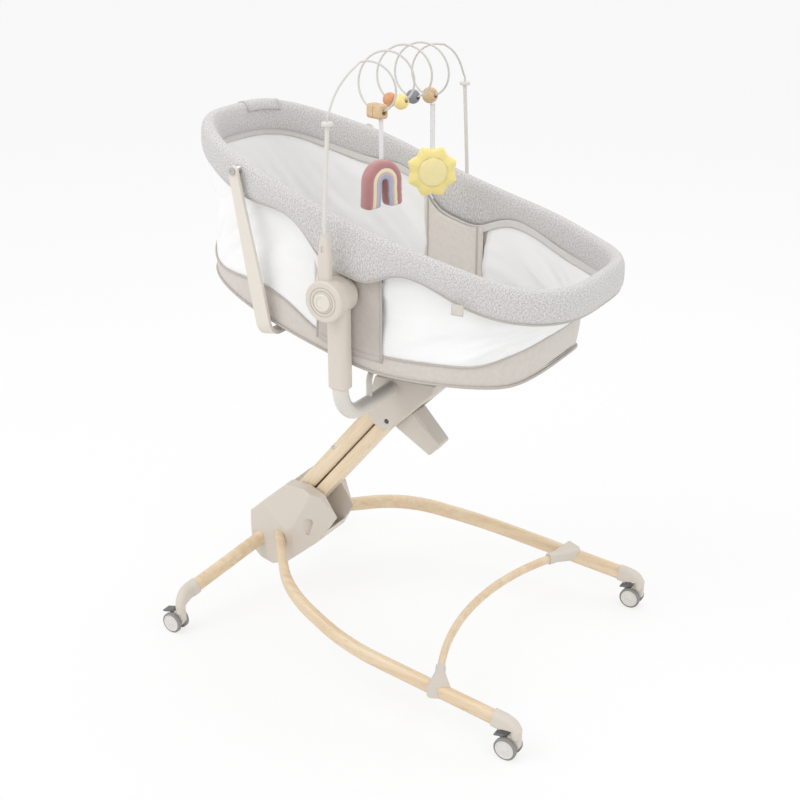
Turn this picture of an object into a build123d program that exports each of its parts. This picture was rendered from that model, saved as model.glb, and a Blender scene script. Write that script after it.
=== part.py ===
from build123d import *
import math
import os

# Bedside bassinet on a castored bentwood stand, with a tilting tub and a lift-off toy arch.
# Millimetres. +X runs towards the foot end, +Y towards the far long side, +Z up.
# The origin of the written parts lies on the floor under the middle of the whole object.
# The sizes below are measured from a station FRAME_X behind that origin.

FRAME_X = 33.0

# Fits
SEAT_GAP = 0.3
SLIP = 0.15
RUNNING = 0.05

# Stand: legs, cross bow and castors
CASTOR_FRONT_X = 454.0
CASTOR_FRONT_Y = 309.0
CASTOR_REAR_X = -356.0
CASTOR_REAR_Y = 293.0
LEG_HEIGHT = 32.0
LEG_WIDTH = 20.0
LEG_ROUND = 9.0
LEG_START = (-266.0, 54.0, 166.0)
LEG_KNEE = (-110.0, 240.0, 151.0)
LEG_HIP = (70.0, 298.0, 113.0)
LEG_END_X = 420.0
LEG_END_Z = 72.0
LEG_KNEE_RADIUS = 280.0
LEG_HIP_RADIUS = 520.0
REAR_LEG_START = (-300.0, 62.0, 144.0)
REAR_LEG_END = (-360.0, 250.0, 82.0)
CAP_WALL = 2.6
CAP_STEM_RADIUS = 10.0
CAP_BOTTOM = 50.0
CROSS_X = 204.0
CROSS_BOW = 60.0
CROSS_HALF = 258.0
CROSS_Z = 93.0
CROSS_HEIGHT = 19.0
CROSS_WIDTH = 14.0
CROSS_SOCKET_WALL = 3.0
WHEEL_RADIUS = 23.0
WHEEL_FACE_RADIUS = 19.5
WHEEL_INNER_Y = 7.5
WHEEL_OUTER_Y = 17.5
CASTOR_TRAIL = 16.0
AXLE_RADIUS = 3.0
CASTOR_STEM_RADIUS = 5.0
CASTOR_STEM_LENGTH = 20.0
PEDAL_WIDTH = 19.0
PEDAL_PIN_RADIUS = 2.0
PEDAL_PIN_X = -20.0
PEDAL_PIN_Z = 42.0

# Hub and column
BAR_TILT = 50.3
BAR_LENGTH = 380.0
REAR_BAR_THICK = 33.0
FRONT_BAR_THICK = 26.0
BAR_GAP = 3.6
BAR_SIDE_GAP = 0.6
OPEN_PIVOT_GAP = 0.5
REAR_BAR_DEPTH = 60.0
FRONT_BAR_DEPTH = 54.0
TOP_PIVOT_X = 10.0
TOP_PIVOT_Z = 486.0
PIVOT_RADIUS = 5.0
SLOT_HALF = 32.0
HUB_HALF = 86.0
HUB_WALL = 12.0
BRACKET_HALF = 45.0
BRACKET_SLOT_TOP = 529.0
LEVER_PIVOT_X = 38.0
LEVER_PIVOT_Z = 498.0
LEVER_PIN_RADIUS = 3.0
LEVER_HALF = 25.0
LEVER_TIP_HALF = 19.0
LEVER_TIP_X = 112.0
LEVER_TIP_Z = 433.0
LEVER_OUTLINE = [(20.0, 467.0), (29.0, 504.0), (45.0, 511.0), (66.0, 510.0), (124.0, 447.0), (101.0, 420.0)]

# Yoke
YOKE_X = 26.0
YOKE_Y = 231.0
YOKE_LOW_Z = 562.0
YOKE_TUBE_RADIUS = 15.5
YOKE_TUBE_WALL = 2.0
YOKE_BEND = 65.0
SLEEVE_BOTTOM = 628.0
YOKE_INSERT = 90.0
SLEEVE_WIDTH = 43.0
SLEEVE_DEPTH = 36.0
JOINT_Z = 812.0
JOINT_FACE_Y = 283.0
JOINT_RADIUS = 39.0
JOINT_NECK_RADIUS = 34.0
JOINT_STEP_Y = 252.0
JOINT_INNER_Y = 218.5
PIVOT_SHAFT_RADIUS = 10.0
PIVOT_SHAFT_END_Y = 243.0
BUTTON_RADIUS = 16.5
BUTTON_TRAVEL = 4.0
BUTTON_PROUD = 5.0
BUTTON_SEAT_Y = 271.0
NECK_LENGTH = 24.0
NECK_DEPTH = 18.0
REST_Y = 130.0
REST_TOP = 634.0
REST_RADIUS = 6.0

# Toy arch
ARCH_X = 22.0
ARCH_FOOT_Y = 266.0
ARCH_TOP_Y = 250.0
ARCH_ROD_RADIUS = 3.8
NECK_RISE = 42.0
SOCKET_SEAM = JOINT_Z + JOINT_RADIUS + NECK_RISE
SOCKET_HEIGHT = 39.0
SOCKET_TOP = SOCKET_SEAM + SOCKET_HEIGHT
PEG_DEPTH = 27.0
PEG_BOTTOM = SOCKET_SEAM - PEG_DEPTH
PEG_RISE = 18.0
ARCH_PEG_TOP = SOCKET_TOP + PEG_RISE
COLLAR_Z = 1125.0
COLLAR_RADIUS = 10.5
COLLAR_THICK = 7.0
WIRE_RADIUS = 2.0
COIL_X = 28.0
COIL_Z = 1181.0
COIL_RADIUS = 49.3
COIL_PITCH = 64.5
COIL_TURNS = 4
COIL_SAG = 3.4
WIRE_STATIONS = [(250.0, 1133.0, 90.0, 0.0), (241.5, 1148.0, 62.0, 0.0), (168.0, 1208.0, 20.0, 2.0)]
BLOCK_TURN = -1.5
PAIR_TURN = -0.5
GREY_TURN = 0.5
BEAD_TURN = 1.5
ORANGE_RADIUS = 13.5
YELLOW_RADIUS = 14.5
GREY_RADIUS = 13.5
ROUND_BEAD_RADIUS = 15.6
BEAD_BORE = 4.6
BLOCK_LENGTH = 36.0
BLOCK_DEPTH = 24.0
BLOCK_HEIGHT = 26.0
BLOCK_BORE = 5.8
TAPE_WIDTH = 9.0
TAPE_THICK = 1.6
TAPE_GAP = 0.7
TAPE_ROLL = 1.2
RAINBOW_TOP = 1034.0
RAINBOW_X = 34.0
RAINBOW_Y = -93.0
RAINBOW_RADIUS = 40.0
RAINBOW_INNER = 5.5
RAINBOW_HEIGHT = 90.0
RAINBOW_THICK = 27.0
RAINBOW_TURN = -21.0
SUN_CENTRE_Z = 975.0
SUN_RADIUS = 48.0
SUN_VALLEY = 39.0
SUN_THICK = 24.0
SUN_TURN = -52.0
SUN_X = 32.0
SUN_Y = 101.0

# Tub: plan outlines are superellipses split at a middle station
RIM_MIDDLE_X = 5.0
RIM_HEAD = 396.0
RIM_FOOT = 450.0
RIM_HALF_WIDTH = 236.0
RIM_THICK = 32.0
RIM_HEIGHT = 62.0
RIM_ROUND = 12.0
RIM_HEAD_POWER = 2.65
RIM_FOOT_POWER = 3.4
OVAL_STEPS = 5
FLAP_HEAD_X = -60.0
FLAP_FOOT_X = 200.0
FLAP_LINE = [(-50.0, 915.0), (-14.0, 872.0), (29.0, 852.0), (86.0, 843.0), (110.0, 851.0),
             (140.0, 862.0)]
RIM_LINE = [(-480.0, 1010.0), (-400.0, 1053.0), (-310.0, 1035.0), (-160.0, 987.0), (0.0, 932.0),
            (140.0, 891.0), (268.0, 859.0), (380.0, 832.0), (480.0, 829.0)]
TUB_MIDDLE_X = 20.0
TUB_HALF_WIDTH = 209.0
TUB_HEAD_POWER = 3.0
TUB_FOOT_POWER = 3.3
LOW_PLANE_Z = 640.0
LOW_HEAD = 384.0
LOW_FOOT = 329.0
HIGH_PLANE_Z = 1080.0
HIGH_HEAD = 396.0
HIGH_FOOT = 582.0
WALL_THICK = 3.0
SKIRT_THICK = 4.0
FLOOR_LINE = [(-420.0, 801.9), (55.0, 661.0), (345.0, 661.0), (420.0, 714.0)]
FLOOR_BEND_RADIUS = 320.0
FLOOR_FOOT_RADIUS = 80.0
SKIRT_LINE = [(-400.0, 880.0), (-345.0, 818.0), (-280.0, 797.0), (-180.0, 793.0), (-100.0, 764.0),
              (-40.0, 726.0), (40.0, 703.0), (120.0, 699.0), (250.0, 703.0), (340.0, 713.0), (420.0, 755.0)]
PAN_THICK = 9.0
MATTRESS_THICK = 35.0
MATTRESS_INSET = 14.0
MATTRESS_ROUND = 9.0
PANEL_LOW_X = -28.0
PANEL_HIGH_X = 105.0
PANEL_FLARE = 14.0
PANEL_DRAW = 18.0
PANEL_LOW_Z = 690.0
PANEL_KNEE_Z = 800.0
PANEL_TOP_Z = 960.0
UPRIGHT_THICK = 6.0
BOW_PIVOT_X = -199.0
BOW_PIVOT_Z = 1015.0
BOW_TOP_Y = 236.0
BOW_LOW_Y = 221.0
BOW_LOW_X = -150.0
BOW_LOW_Z = 698.0
BOW_THICK = 7.0
BOW_TOP_WIDTH = 19.0
BOW_LOW_WIDTH = 31.0
BOW_BEND = 26.0
BOSS_RADIUS = 7.5
BOW_SIDE_GAP = 0.9
BOSS_INNER_Y = 213.0
BOW_SHAFT_RADIUS = 4.0
RAIL_INNER_Y = 84.0
RAIL_WIDTH = 18.0
RAIL_BOTTOM = 644.0

PARTS = {}


def add(name, shape):
    """Keep a finished sub-part under its node name."""
    PARTS[name] = shape


def prism_y(points, y_low, y_high):
    """A side-view outline of (x, z) points carried from y_low to y_high."""
    outline = Polyline(*[(x, y_low, z) for x, z in points], close=True)
    return extrude(make_face(outline.edges()), amount=y_high - y_low, dir=(0, 1, 0))


def prism_z(points, z_low, z_high):
    """A plan outline of (x, y) points carried from z_low to z_high."""
    outline = Polyline(*[(x, y, z_low) for x, y in points], close=True)
    return extrude(make_face(outline.edges()), amount=z_high - z_low, dir=(0, 0, 1))


def rod_y(x, z, radius, y_low, y_high):
    """A round bar along Y."""
    disc = Plane(origin=(x, y_low, z), z_dir=(0, 1, 0)) * Circle(radius)
    return extrude(disc, amount=y_high - y_low)


def rod_z(x, y, radius, z_low, z_high):
    """A round bar along Z."""
    disc = Plane(origin=(x, y, z_low), z_dir=(0, 0, 1)) * Circle(radius)
    return extrude(disc, amount=z_high - z_low)


def far_side(shape):
    """The mirror image of a near-side piece on the far side."""
    return mirror(shape, about=Plane.XZ)


def near_and_far(name, near_shape):
    """Add a near piece and its mirror image as two nodes."""
    add(name + "_near", near_shape)
    add(name + "_far", far_side(near_shape))


def pair(near_shape):
    """A near piece and its mirror image as one node."""
    return Compound([*near_shape.solids(), *far_side(near_shape).solids()])


def unit(start, end):
    """The unit vector from one point to another."""
    return (Vector(*end) - Vector(*start)).normalized()


def upright_section(start, direction, height, width, corner):
    """A rounded section square to a direction, with its height as near vertical as it can be."""
    side = Vector(0, 0, 1).cross(direction).normalized()
    plane = Plane(origin=start, x_dir=side, z_dir=direction)
    return plane * RectangleRounded(width, height, corner)


def straight_bar(start, end, height, width, corner):
    """A straight bar with a rounded section."""
    direction = unit(start, end)
    length = (Vector(*end) - Vector(*start)).length
    return extrude(upright_section(start, direction, height, width, corner), amount=length)


# Stand


def long_leg_path():
    end = (LEG_END_X, CASTOR_FRONT_Y - 1.0, LEG_END_Z)
    points = [flip(LEG_START), flip(LEG_KNEE), flip(LEG_HIP), flip(end)]
    return FilletPolyline(*points, radius=[LEG_KNEE_RADIUS, LEG_HIP_RADIUS])


def flip(point):
    """The near-side copy of a far-side point."""
    return (point[0], -point[1], point[2])


def long_leg(grow=0.0):
    """A bent beech leg, from its socket in the hub to the front end cap."""
    path = long_leg_path()
    section = upright_section(flip(LEG_START), unit(flip(LEG_START), flip(LEG_KNEE)),
                              LEG_HEIGHT + 2 * grow, LEG_WIDTH + 2 * grow, LEG_ROUND + grow)
    return sweep(section, path=path)


def rear_leg():
    return straight_bar(flip(REAR_LEG_START), flip(REAR_LEG_END), LEG_HEIGHT, LEG_WIDTH, LEG_ROUND)


def leg_pocket(start, towards, length):
    """The socket that a leg end slides into, open along the leg."""
    direction = unit(start, towards)
    back = Vector(*start) - direction * SEAT_GAP
    section = upright_section(back, direction, LEG_HEIGHT + 2 * SLIP, LEG_WIDTH + 2 * SLIP,
                              LEG_ROUND + SLIP)
    return extrude(section, amount=length)


def end_cap(leg_end, inner_point, stem_x, stem_y):
    """A moulded elbow: a sleeve over the leg end that turns down into the castor stem."""
    direction = unit(inner_point, leg_end)
    mouth = Vector(*leg_end) - direction * 14.0
    tip = Vector(*leg_end) + direction * 3.0
    height = LEG_HEIGHT + 2 * CAP_WALL
    width = LEG_WIDTH + 2 * CAP_WALL
    corner = LEG_ROUND + CAP_WALL
    sleeve = extrude(upright_section(mouth, direction, height, width, corner), amount=(tip - mouth).length)
    stem_top = Plane(origin=(stem_x, stem_y, CAP_BOTTOM + 14.0)) * Circle(CAP_STEM_RADIUS + 1.0)
    elbow = loft([upright_section(tip, direction, height, width, corner), turned_section(tip, direction,
                  stem_x, stem_y, height, width, corner), stem_top])
    stem = Plane(origin=(stem_x, stem_y, CAP_BOTTOM)) * Circle(CAP_STEM_RADIUS)
    lower = loft([stem, stem_top])
    cap = sleeve + elbow + lower
    inner = Vector(*leg_end) - direction * 60.0
    cap -= extrude(upright_section(inner, direction, LEG_HEIGHT + 2 * SLIP, LEG_WIDTH + 2 * SLIP,
                                   LEG_ROUND + SLIP), amount=60.0 + SEAT_GAP)
    return cap - rod_z(stem_x, stem_y, CASTOR_STEM_RADIUS + RUNNING, CAP_BOTTOM - 1.0,
                       CAP_BOTTOM + CASTOR_STEM_LENGTH + 1.0)


def turned_section(tip, direction, stem_x, stem_y, height, width, corner):
    """The elbow's middle section, halfway between the leg's line and straight down."""
    down = (direction + Vector(0, 0, -1)).normalized()
    reach = Vector(stem_x, stem_y, tip.Z) - tip
    middle = tip + reach * 0.62 + Vector(0, 0, -3.0)
    side = Vector(0, 0, 1).cross(direction).normalized()
    plane = Plane(origin=middle, x_dir=side, z_dir=down)
    return plane * RectangleRounded(width * 0.94, height * 0.8, corner * 0.78)


def front_cap():
    end = (LEG_END_X, -(CASTOR_FRONT_Y - 1.0), LEG_END_Z)
    return end_cap(end, flip(LEG_HIP), CASTOR_FRONT_X, -CASTOR_FRONT_Y)


def rear_cap():
    return end_cap(flip(REAR_LEG_END), flip(REAR_LEG_START), CASTOR_REAR_X, -CASTOR_REAR_Y)


def cross_radius():
    return (CROSS_HALF ** 2 + CROSS_BOW ** 2) / (2 * CROSS_BOW)


def cross_bow():
    """The thin bow between the legs, bent towards the head end."""
    start = (CROSS_X + CROSS_BOW, -CROSS_HALF, CROSS_Z)
    end = (CROSS_X + CROSS_BOW, CROSS_HALF, CROSS_Z)
    path = ThreePointArc(start, (CROSS_X, 0, CROSS_Z), end)
    section = upright_section(start, path % 0, CROSS_HEIGHT, CROSS_WIDTH, 6.5)
    return sweep(section, path=path)


def cross_socket():
    """A moulded foot that holds the bow's end against the leg's inner face."""
    angle = math.asin(CROSS_HALF / cross_radius())
    outward = Vector(math.sin(angle), -math.cos(angle), 0)
    end = Vector(CROSS_X + CROSS_BOW, -CROSS_HALF, CROSS_Z)
    mouth = end - outward * 12.0
    neck = end + outward * 8.0
    foot = end + outward * 62.0
    height = CROSS_HEIGHT + 2 * CROSS_SOCKET_WALL
    width = CROSS_WIDTH + 2 * CROSS_SOCKET_WALL
    narrow = extrude(upright_section(mouth, outward, height, width, 8.0), amount=20.0)
    flare = loft([upright_section(neck, outward, height, width, 8.0),
                  upright_section(foot, outward, height + 10.0, width + 26.0, 10.0)])
    socket = narrow + flare
    socket -= extrude(upright_section(mouth, outward, CROSS_HEIGHT + 2 * SLIP, CROSS_WIDTH + 2 * SLIP,
                                      6.5 + SLIP), amount=12.0 + SEAT_GAP)
    socket -= long_leg(SEAT_GAP)
    return socket.solids().sort_by(SortBy.VOLUME)[-1]


# Castors, drawn with the swivel axis on the local Z axis and the wheels trailing


def castor_body():
    """The swivelling body between the two wheels, with its stem and the lug of the pedal."""
    side = [(-CASTOR_TRAIL - 9.0, 21.0), (-CASTOR_TRAIL - 2.0, 15.0), (-CASTOR_TRAIL + 8.0, 14.0),
            (2.0, 17.0), (8.5, 28.0), (9.0, CAP_BOTTOM - SEAT_GAP), (-9.0, CAP_BOTTOM - SEAT_GAP),
            (-14.0, 47.0), (-24.0, 42.0), (-28.0, 34.0)]
    half = WHEEL_INNER_Y - 1.0
    body = prism_y(side, -half, half)
    body += rod_z(0, 0, 9.5, 2 * WHEEL_RADIUS + 0.4, CAP_BOTTOM - SEAT_GAP)
    body += rod_z(0, 0, CASTOR_STEM_RADIUS, CAP_BOTTOM - SEAT_GAP, CAP_BOTTOM + CASTOR_STEM_LENGTH)
    body -= rod_y(-CASTOR_TRAIL, WHEEL_RADIUS, AXLE_RADIUS + RUNNING, -20.0, 20.0)
    body -= Pos(-25.5, 0, 46.0) * Box(20.0, 40.0, 16.0)
    lug = prism_y([(-23.0, 34.0), (-14.0, 34.0), (-14.0, 44.0), (-19.0, 45.0), (-23.0, 43.0)], -3.0, 3.0)
    pin = rod_y(PEDAL_PIN_X, PEDAL_PIN_Z, PEDAL_PIN_RADIUS, -half, half)
    return body + lug + pin


def castor_pedal():
    """The brake pedal, forked over its lug, with a ribbed tread at the back."""
    half = WHEEL_INNER_Y - 1.0
    arms = prism_y([(-16.8, 39.6), (-16.8, 45.0), (-19.0, 49.0), (-24.0, 50.6), (-28.0, 46.0),
                    (-23.5, 39.6)], -half, half)
    tread = prism_y([(-20.0, 47.4), (-24.0, 50.6), (-42.0, 45.5), (-43.0, 41.5), (-30.0, 44.0),
                     (-22.0, 46.8)], -PEDAL_WIDTH / 2, PEDAL_WIDTH / 2)
    pedal = arms + tread
    pedal -= Pos(-19.0, 0, 41.0) * Box(11.0, 6.0 + 4 * SLIP, 10.6)
    pedal -= rod_y(PEDAL_PIN_X, PEDAL_PIN_Z, PEDAL_PIN_RADIUS + RUNNING, -20.0, 20.0)
    for rib in range(3):
        pedal -= Pos(-29.0 - 4.0 * rib, 0, 49.9 - 1.1 * rib) * Box(1.4, PEDAL_WIDTH + 2.0, 2.4)
    return pedal


def castor_wheels():
    """Two tyred wheels on one axle."""
    wheels = rod_y(-CASTOR_TRAIL, WHEEL_RADIUS, AXLE_RADIUS, -WHEEL_OUTER_Y + 2.0, WHEEL_OUTER_Y - 2.0)
    for sign in (-1, 1):
        inner = sign * WHEEL_INNER_Y
        outer = sign * WHEEL_OUTER_Y
        low, high = min(inner, outer), max(inner, outer)
        tyre = rod_y(-CASTOR_TRAIL, WHEEL_RADIUS, WHEEL_RADIUS, low, high)
        tyre = chamfer(tyre.edges(), 2.0)
        face = outer - sign * 1.2
        low, high = min(face, outer + sign), max(face, outer + sign)
        tyre -= rod_y(-CASTOR_TRAIL, WHEEL_RADIUS, WHEEL_FACE_RADIUS, low, high)
        wheels += tyre
    return wheels


def castors():
    places = {"front_near": (CASTOR_FRONT_X, -CASTOR_FRONT_Y),
              "front_far": (CASTOR_FRONT_X, CASTOR_FRONT_Y),
              "rear_near": (CASTOR_REAR_X, -CASTOR_REAR_Y),
              "rear_far": (CASTOR_REAR_X, CASTOR_REAR_Y)}
    for place, (x, y) in places.items():
        add("castor_body_" + place, Pos(x, y, 0) * castor_body())
        add("castor_wheels_" + place, Pos(x, y, 0) * castor_wheels())
        add("castor_pedal_" + place, Pos(x, y, 0) * castor_pedal())


# Hub and column


def bar_axis():
    return Vector(math.cos(math.radians(BAR_TILT)), 0, math.sin(math.radians(BAR_TILT)))


def bar_square():
    """The direction from the rear bar to the front bar."""
    return Vector(math.sin(math.radians(BAR_TILT)), 0, -math.cos(math.radians(BAR_TILT)))


def front_top():
    return Vector(TOP_PIVOT_X, 0, TOP_PIVOT_Z)


def front_bottom():
    return front_top() - bar_axis() * BAR_LENGTH


def bar_spacing():
    return (REAR_BAR_THICK + FRONT_BAR_THICK) / 2 + BAR_GAP


def rear_top():
    return front_top() - bar_square() * bar_spacing()


def rear_bottom():
    return front_bottom() - bar_square() * bar_spacing()


def column_bar(low_pivot, high_pivot, thick, depth, corner):
    """A wooden bar with round ends and a cross hole at each pivot."""
    middle = (low_pivot + high_pivot) * 0.5
    plane = Plane(origin=(middle.X, -depth / 2, middle.Z), x_dir=bar_axis(), z_dir=(0, 1, 0))
    bar = extrude(plane * SlotOverall(BAR_LENGTH + thick, thick), amount=depth)
    long_edges = bar.edges().filter_by(lambda edge: edge.length > BAR_LENGTH * 0.8)
    bar = fillet(long_edges, corner)
    for pivot in (low_pivot, high_pivot):
        bar -= rod_y(pivot.X, pivot.Z, PIVOT_RADIUS + RUNNING, -depth, depth)
    return bar


def pivot_pins(pivots, radius, half_length):
    pins = [rod_y(pivot.X, pivot.Z, radius, -half_length, half_length) for pivot in pivots]
    return Compound([solid for pin in pins for solid in pin.solids()])


def hub_block():
    """The hub's faceted outer form, before it is cut into cheeks and core."""
    side = [(-352.0, 152.0), (-336.0, 196.0), (-236.0, 286.0), (-190.0, 286.0), (-152.0, 270.0),
            (-121.0, 222.0), (-164.0, 157.0), (-222.0, 109.0), (-267.0, 88.0), (-306.0, 91.0),
            (-342.0, 116.0)]
    plan = [(-356.0, 0.0), (-350.0, 44.0), (-330.0, 66.0), (-224.0, HUB_HALF), (-206.0, HUB_HALF - 3.0),
            (-122.0, 33.0), (-112.0, 0.0)]
    whole_plan = plan + [(x, -y) for x, y in reversed(plan[1:-1])]
    top_half = HUB_HALF - 30.0
    end_view = [(-HUB_HALF, 80.0), (-HUB_HALF, 186.0), (-top_half, 300.0), (top_half, 300.0),
                (HUB_HALF, 186.0), (HUB_HALF, 80.0)]
    outline = Polyline(*[(-400.0, y, z) for y, z in end_view], close=True)
    ends = extrude(make_face(outline.edges()), amount=400.0, dir=(1, 0, 0))
    return prism_y(side, -HUB_HALF - 5, HUB_HALF + 5) & prism_z(whole_plan, 60.0, 320.0) & ends


def hub_window(block_y):
    """The drop-shaped recess in the cheek's front facet."""
    facet = Vector(math.sin(math.radians(57)), -math.cos(math.radians(57)), 0)
    plane = Plane(origin=(-176.0, -66.0, 196.0), x_dir=facet.cross(Vector(0, 0, 1)), z_dir=facet)
    low = plane * (Pos(0, -12.0) * Circle(11.0))
    high = plane * (Pos(0, 14.0) * Circle(4.0))
    sides = Polyline((-10.8, -10.0), (-3.9, 14.8), (3.9, 14.8), (10.8, -10.0), close=True)
    neck = plane * make_face(sides.edges())
    drop = low + high + neck
    return extrude(drop, amount=30.0) + extrude(drop, amount=-block_y)


def hub_shell(block):
    """The near cheek, with sockets for the two legs on its side."""
    keep = Pos(-236.0, -SLOT_HALF - 1.0 - 60.0, 190.0) * Box(300.0, 120.0, 260.0)
    shell = block & keep
    ridges = shell.edges().filter_by(lambda edge: edge.length > 50.0 and edge.center().Y < -50.0)
    shell = fillet(ridges, 5.0)
    shell -= leg_pocket(flip(LEG_START), flip(LEG_KNEE), 130.0)
    shell -= leg_pocket(flip(REAR_LEG_START), flip(REAR_LEG_END), 130.0)
    shell -= hub_window(5.0)
    for pivot in (front_bottom(), rear_bottom()):
        shell -= rod_y(pivot.X, pivot.Z, PIVOT_RADIUS, -HUB_HALF + 22.0, 0)
    return shell


def hub_core(block):
    """The pale housing between the cheeks: its floor and its rounded back."""
    keep = Pos(-236.0, 0, 190.0) * Box(300.0, 2 * SLOT_HALF + 2.0 - 2 * SEAT_GAP, 260.0)
    core = block & keep
    room = prism_y([(-285.0, 330.0), (-285.0, 186.0), (-262.0, 160.0), (-228.0, 146.0), (-196.0, 152.0),
                    (-100.0, 214.0), (-60.0, 330.0)], -SLOT_HALF - 2.0, SLOT_HALF + 2.0)
    core -= room
    back = core.edges().filter_by(Axis.Y).filter_by(lambda edge: edge.center().X < -335.0)
    return fillet(back, 9.0)


def stand():
    near_and_far("long_leg", long_leg())
    add("rear_legs", pair(rear_leg()))
    near_and_far("front_cap", front_cap())
    near_and_far("rear_cap", rear_cap())
    add("cross_bow", cross_bow())
    add("cross_sockets", pair(cross_socket()))
    block = hub_block()
    near_and_far("hub_cheek", hub_shell(block))
    add("hub_core", hub_core(block))
    lower = pivot_pins([front_bottom(), rear_bottom()], PIVOT_RADIUS, HUB_HALF - 22.0)
    add("lower_pivot_pins", lower)


def column():
    rear = column_bar(rear_bottom(), rear_top(), REAR_BAR_THICK, REAR_BAR_DEPTH, 7.0)
    rear -= rod_y(rear_top().X, rear_top().Z, PIVOT_RADIUS + OPEN_PIVOT_GAP,
                  -REAR_BAR_DEPTH, REAR_BAR_DEPTH)
    add("rear_column_bar", rear)
    add("front_column_bar", column_bar(front_bottom(), front_top(), FRONT_BAR_THICK, FRONT_BAR_DEPTH, 5.0))
    add("column_bracket", bracket())
    upper = pivot_pins([front_top(), rear_top()], PIVOT_RADIUS, BRACKET_HALF - 5.0)
    lever_pin = rod_y(LEVER_PIVOT_X, LEVER_PIVOT_Z, LEVER_PIN_RADIUS,
                      5.0 - BRACKET_HALF, BRACKET_HALF - 5.0)
    add("upper_pivot_pins", Compound([*upper.solids(), *lever_pin.solids()]))
    add("release_lever", release_lever())


def bracket():
    """The head of the column: two cheeks over the bars, and a block that the yoke tube passes through."""
    side = [(-14.0, 582.0), (-31.0, 530.0), (-34.0, 500.0), (-24.0, 476.0), (-4.0, 465.0), (21.0, 468.0),
            (66.0, 512.0), (120.0, 566.0), (129.0, 588.0)]
    block = prism_y(side, -BRACKET_HALF, BRACKET_HALF)
    corners = block.edges().filter_by(Axis.Y)
    block = fillet(corners.filter_by(lambda edge: edge.center().X < 0), 9.0)
    rims = block.faces().filter_by(Axis.Y).edges()
    block = chamfer(rims, 2.5)
    slot_half = REAR_BAR_DEPTH / 2 + BAR_SIDE_GAP
    block -= Pos(50.0, 0, BRACKET_SLOT_TOP - 100.0) * Box(300.0, 2 * slot_half, 200.0)
    block -= rod_y(YOKE_X, YOKE_LOW_Z, YOKE_TUBE_RADIUS + SLIP, -BRACKET_HALF - 1, BRACKET_HALF + 1)
    for pivot in (front_top(), rear_top()):
        block -= rod_y(pivot.X, pivot.Z, PIVOT_RADIUS, 5.0 - BRACKET_HALF, BRACKET_HALF - 5.0)
    block -= rod_y(LEVER_PIVOT_X, LEVER_PIVOT_Z, LEVER_PIN_RADIUS, 5.0 - BRACKET_HALF, BRACKET_HALF - 5.0)
    recess = rod_y(front_top().X + 3.0, front_top().Z, 5.5, -BRACKET_HALF - 1, 2.5 - BRACKET_HALF)
    return block - recess - far_side(recess)


def release_lever():
    """The squeeze lever under the bracket, ridged along its length and narrower at the tip."""
    lever = prism_y(LEVER_OUTLINE, -LEVER_HALF, LEVER_HALF)
    lever = fillet(lever.edges().filter_by(Axis.Y), 5.5)
    lever = chamfer(lever.faces().filter_by(Axis.Y).edges(), 4.5)
    along = unit((LEVER_PIVOT_X, 0, LEVER_PIVOT_Z), (LEVER_TIP_X, 0, LEVER_TIP_Z))
    across = Plane(origin=(LEVER_PIVOT_X, 0, LEVER_PIVOT_Z), x_dir=along,
                   z_dir=along.cross(Vector(0, 1, 0)))
    reach = math.hypot(LEVER_TIP_X - LEVER_PIVOT_X, LEVER_TIP_Z - LEVER_PIVOT_Z) + 20.0
    wide = LEVER_HALF + 1.0
    taper = make_face(across * Polyline((-60, -wide), (30, -wide), (reach, -LEVER_TIP_HALF),
                                        (reach, LEVER_TIP_HALF), (30, wide), (-60, wide), close=True))
    lever &= extrude(taper, amount=120.0, both=True)
    return lever - rod_y(LEVER_PIVOT_X, LEVER_PIVOT_Z, LEVER_PIN_RADIUS + RUNNING, -60.0, 60.0)


# Yoke


def yoke_path():
    top = SLEEVE_BOTTOM + YOKE_INSERT
    points = [(YOKE_X, -YOKE_Y, top), (YOKE_X, -YOKE_Y, YOKE_LOW_Z), (YOKE_X, YOKE_Y, YOKE_LOW_Z),
              (YOKE_X, YOKE_Y, top)]
    return FilletPolyline(*points, radius=YOKE_BEND)


def yoke_tube():
    path = yoke_path()
    plane = Plane(origin=path @ 0, z_dir=path % 0)
    outer = sweep(plane * Circle(YOKE_TUBE_RADIUS), path=path)
    return outer - sweep(plane * Circle(YOKE_TUBE_RADIUS - YOKE_TUBE_WALL), path=path)


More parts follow.
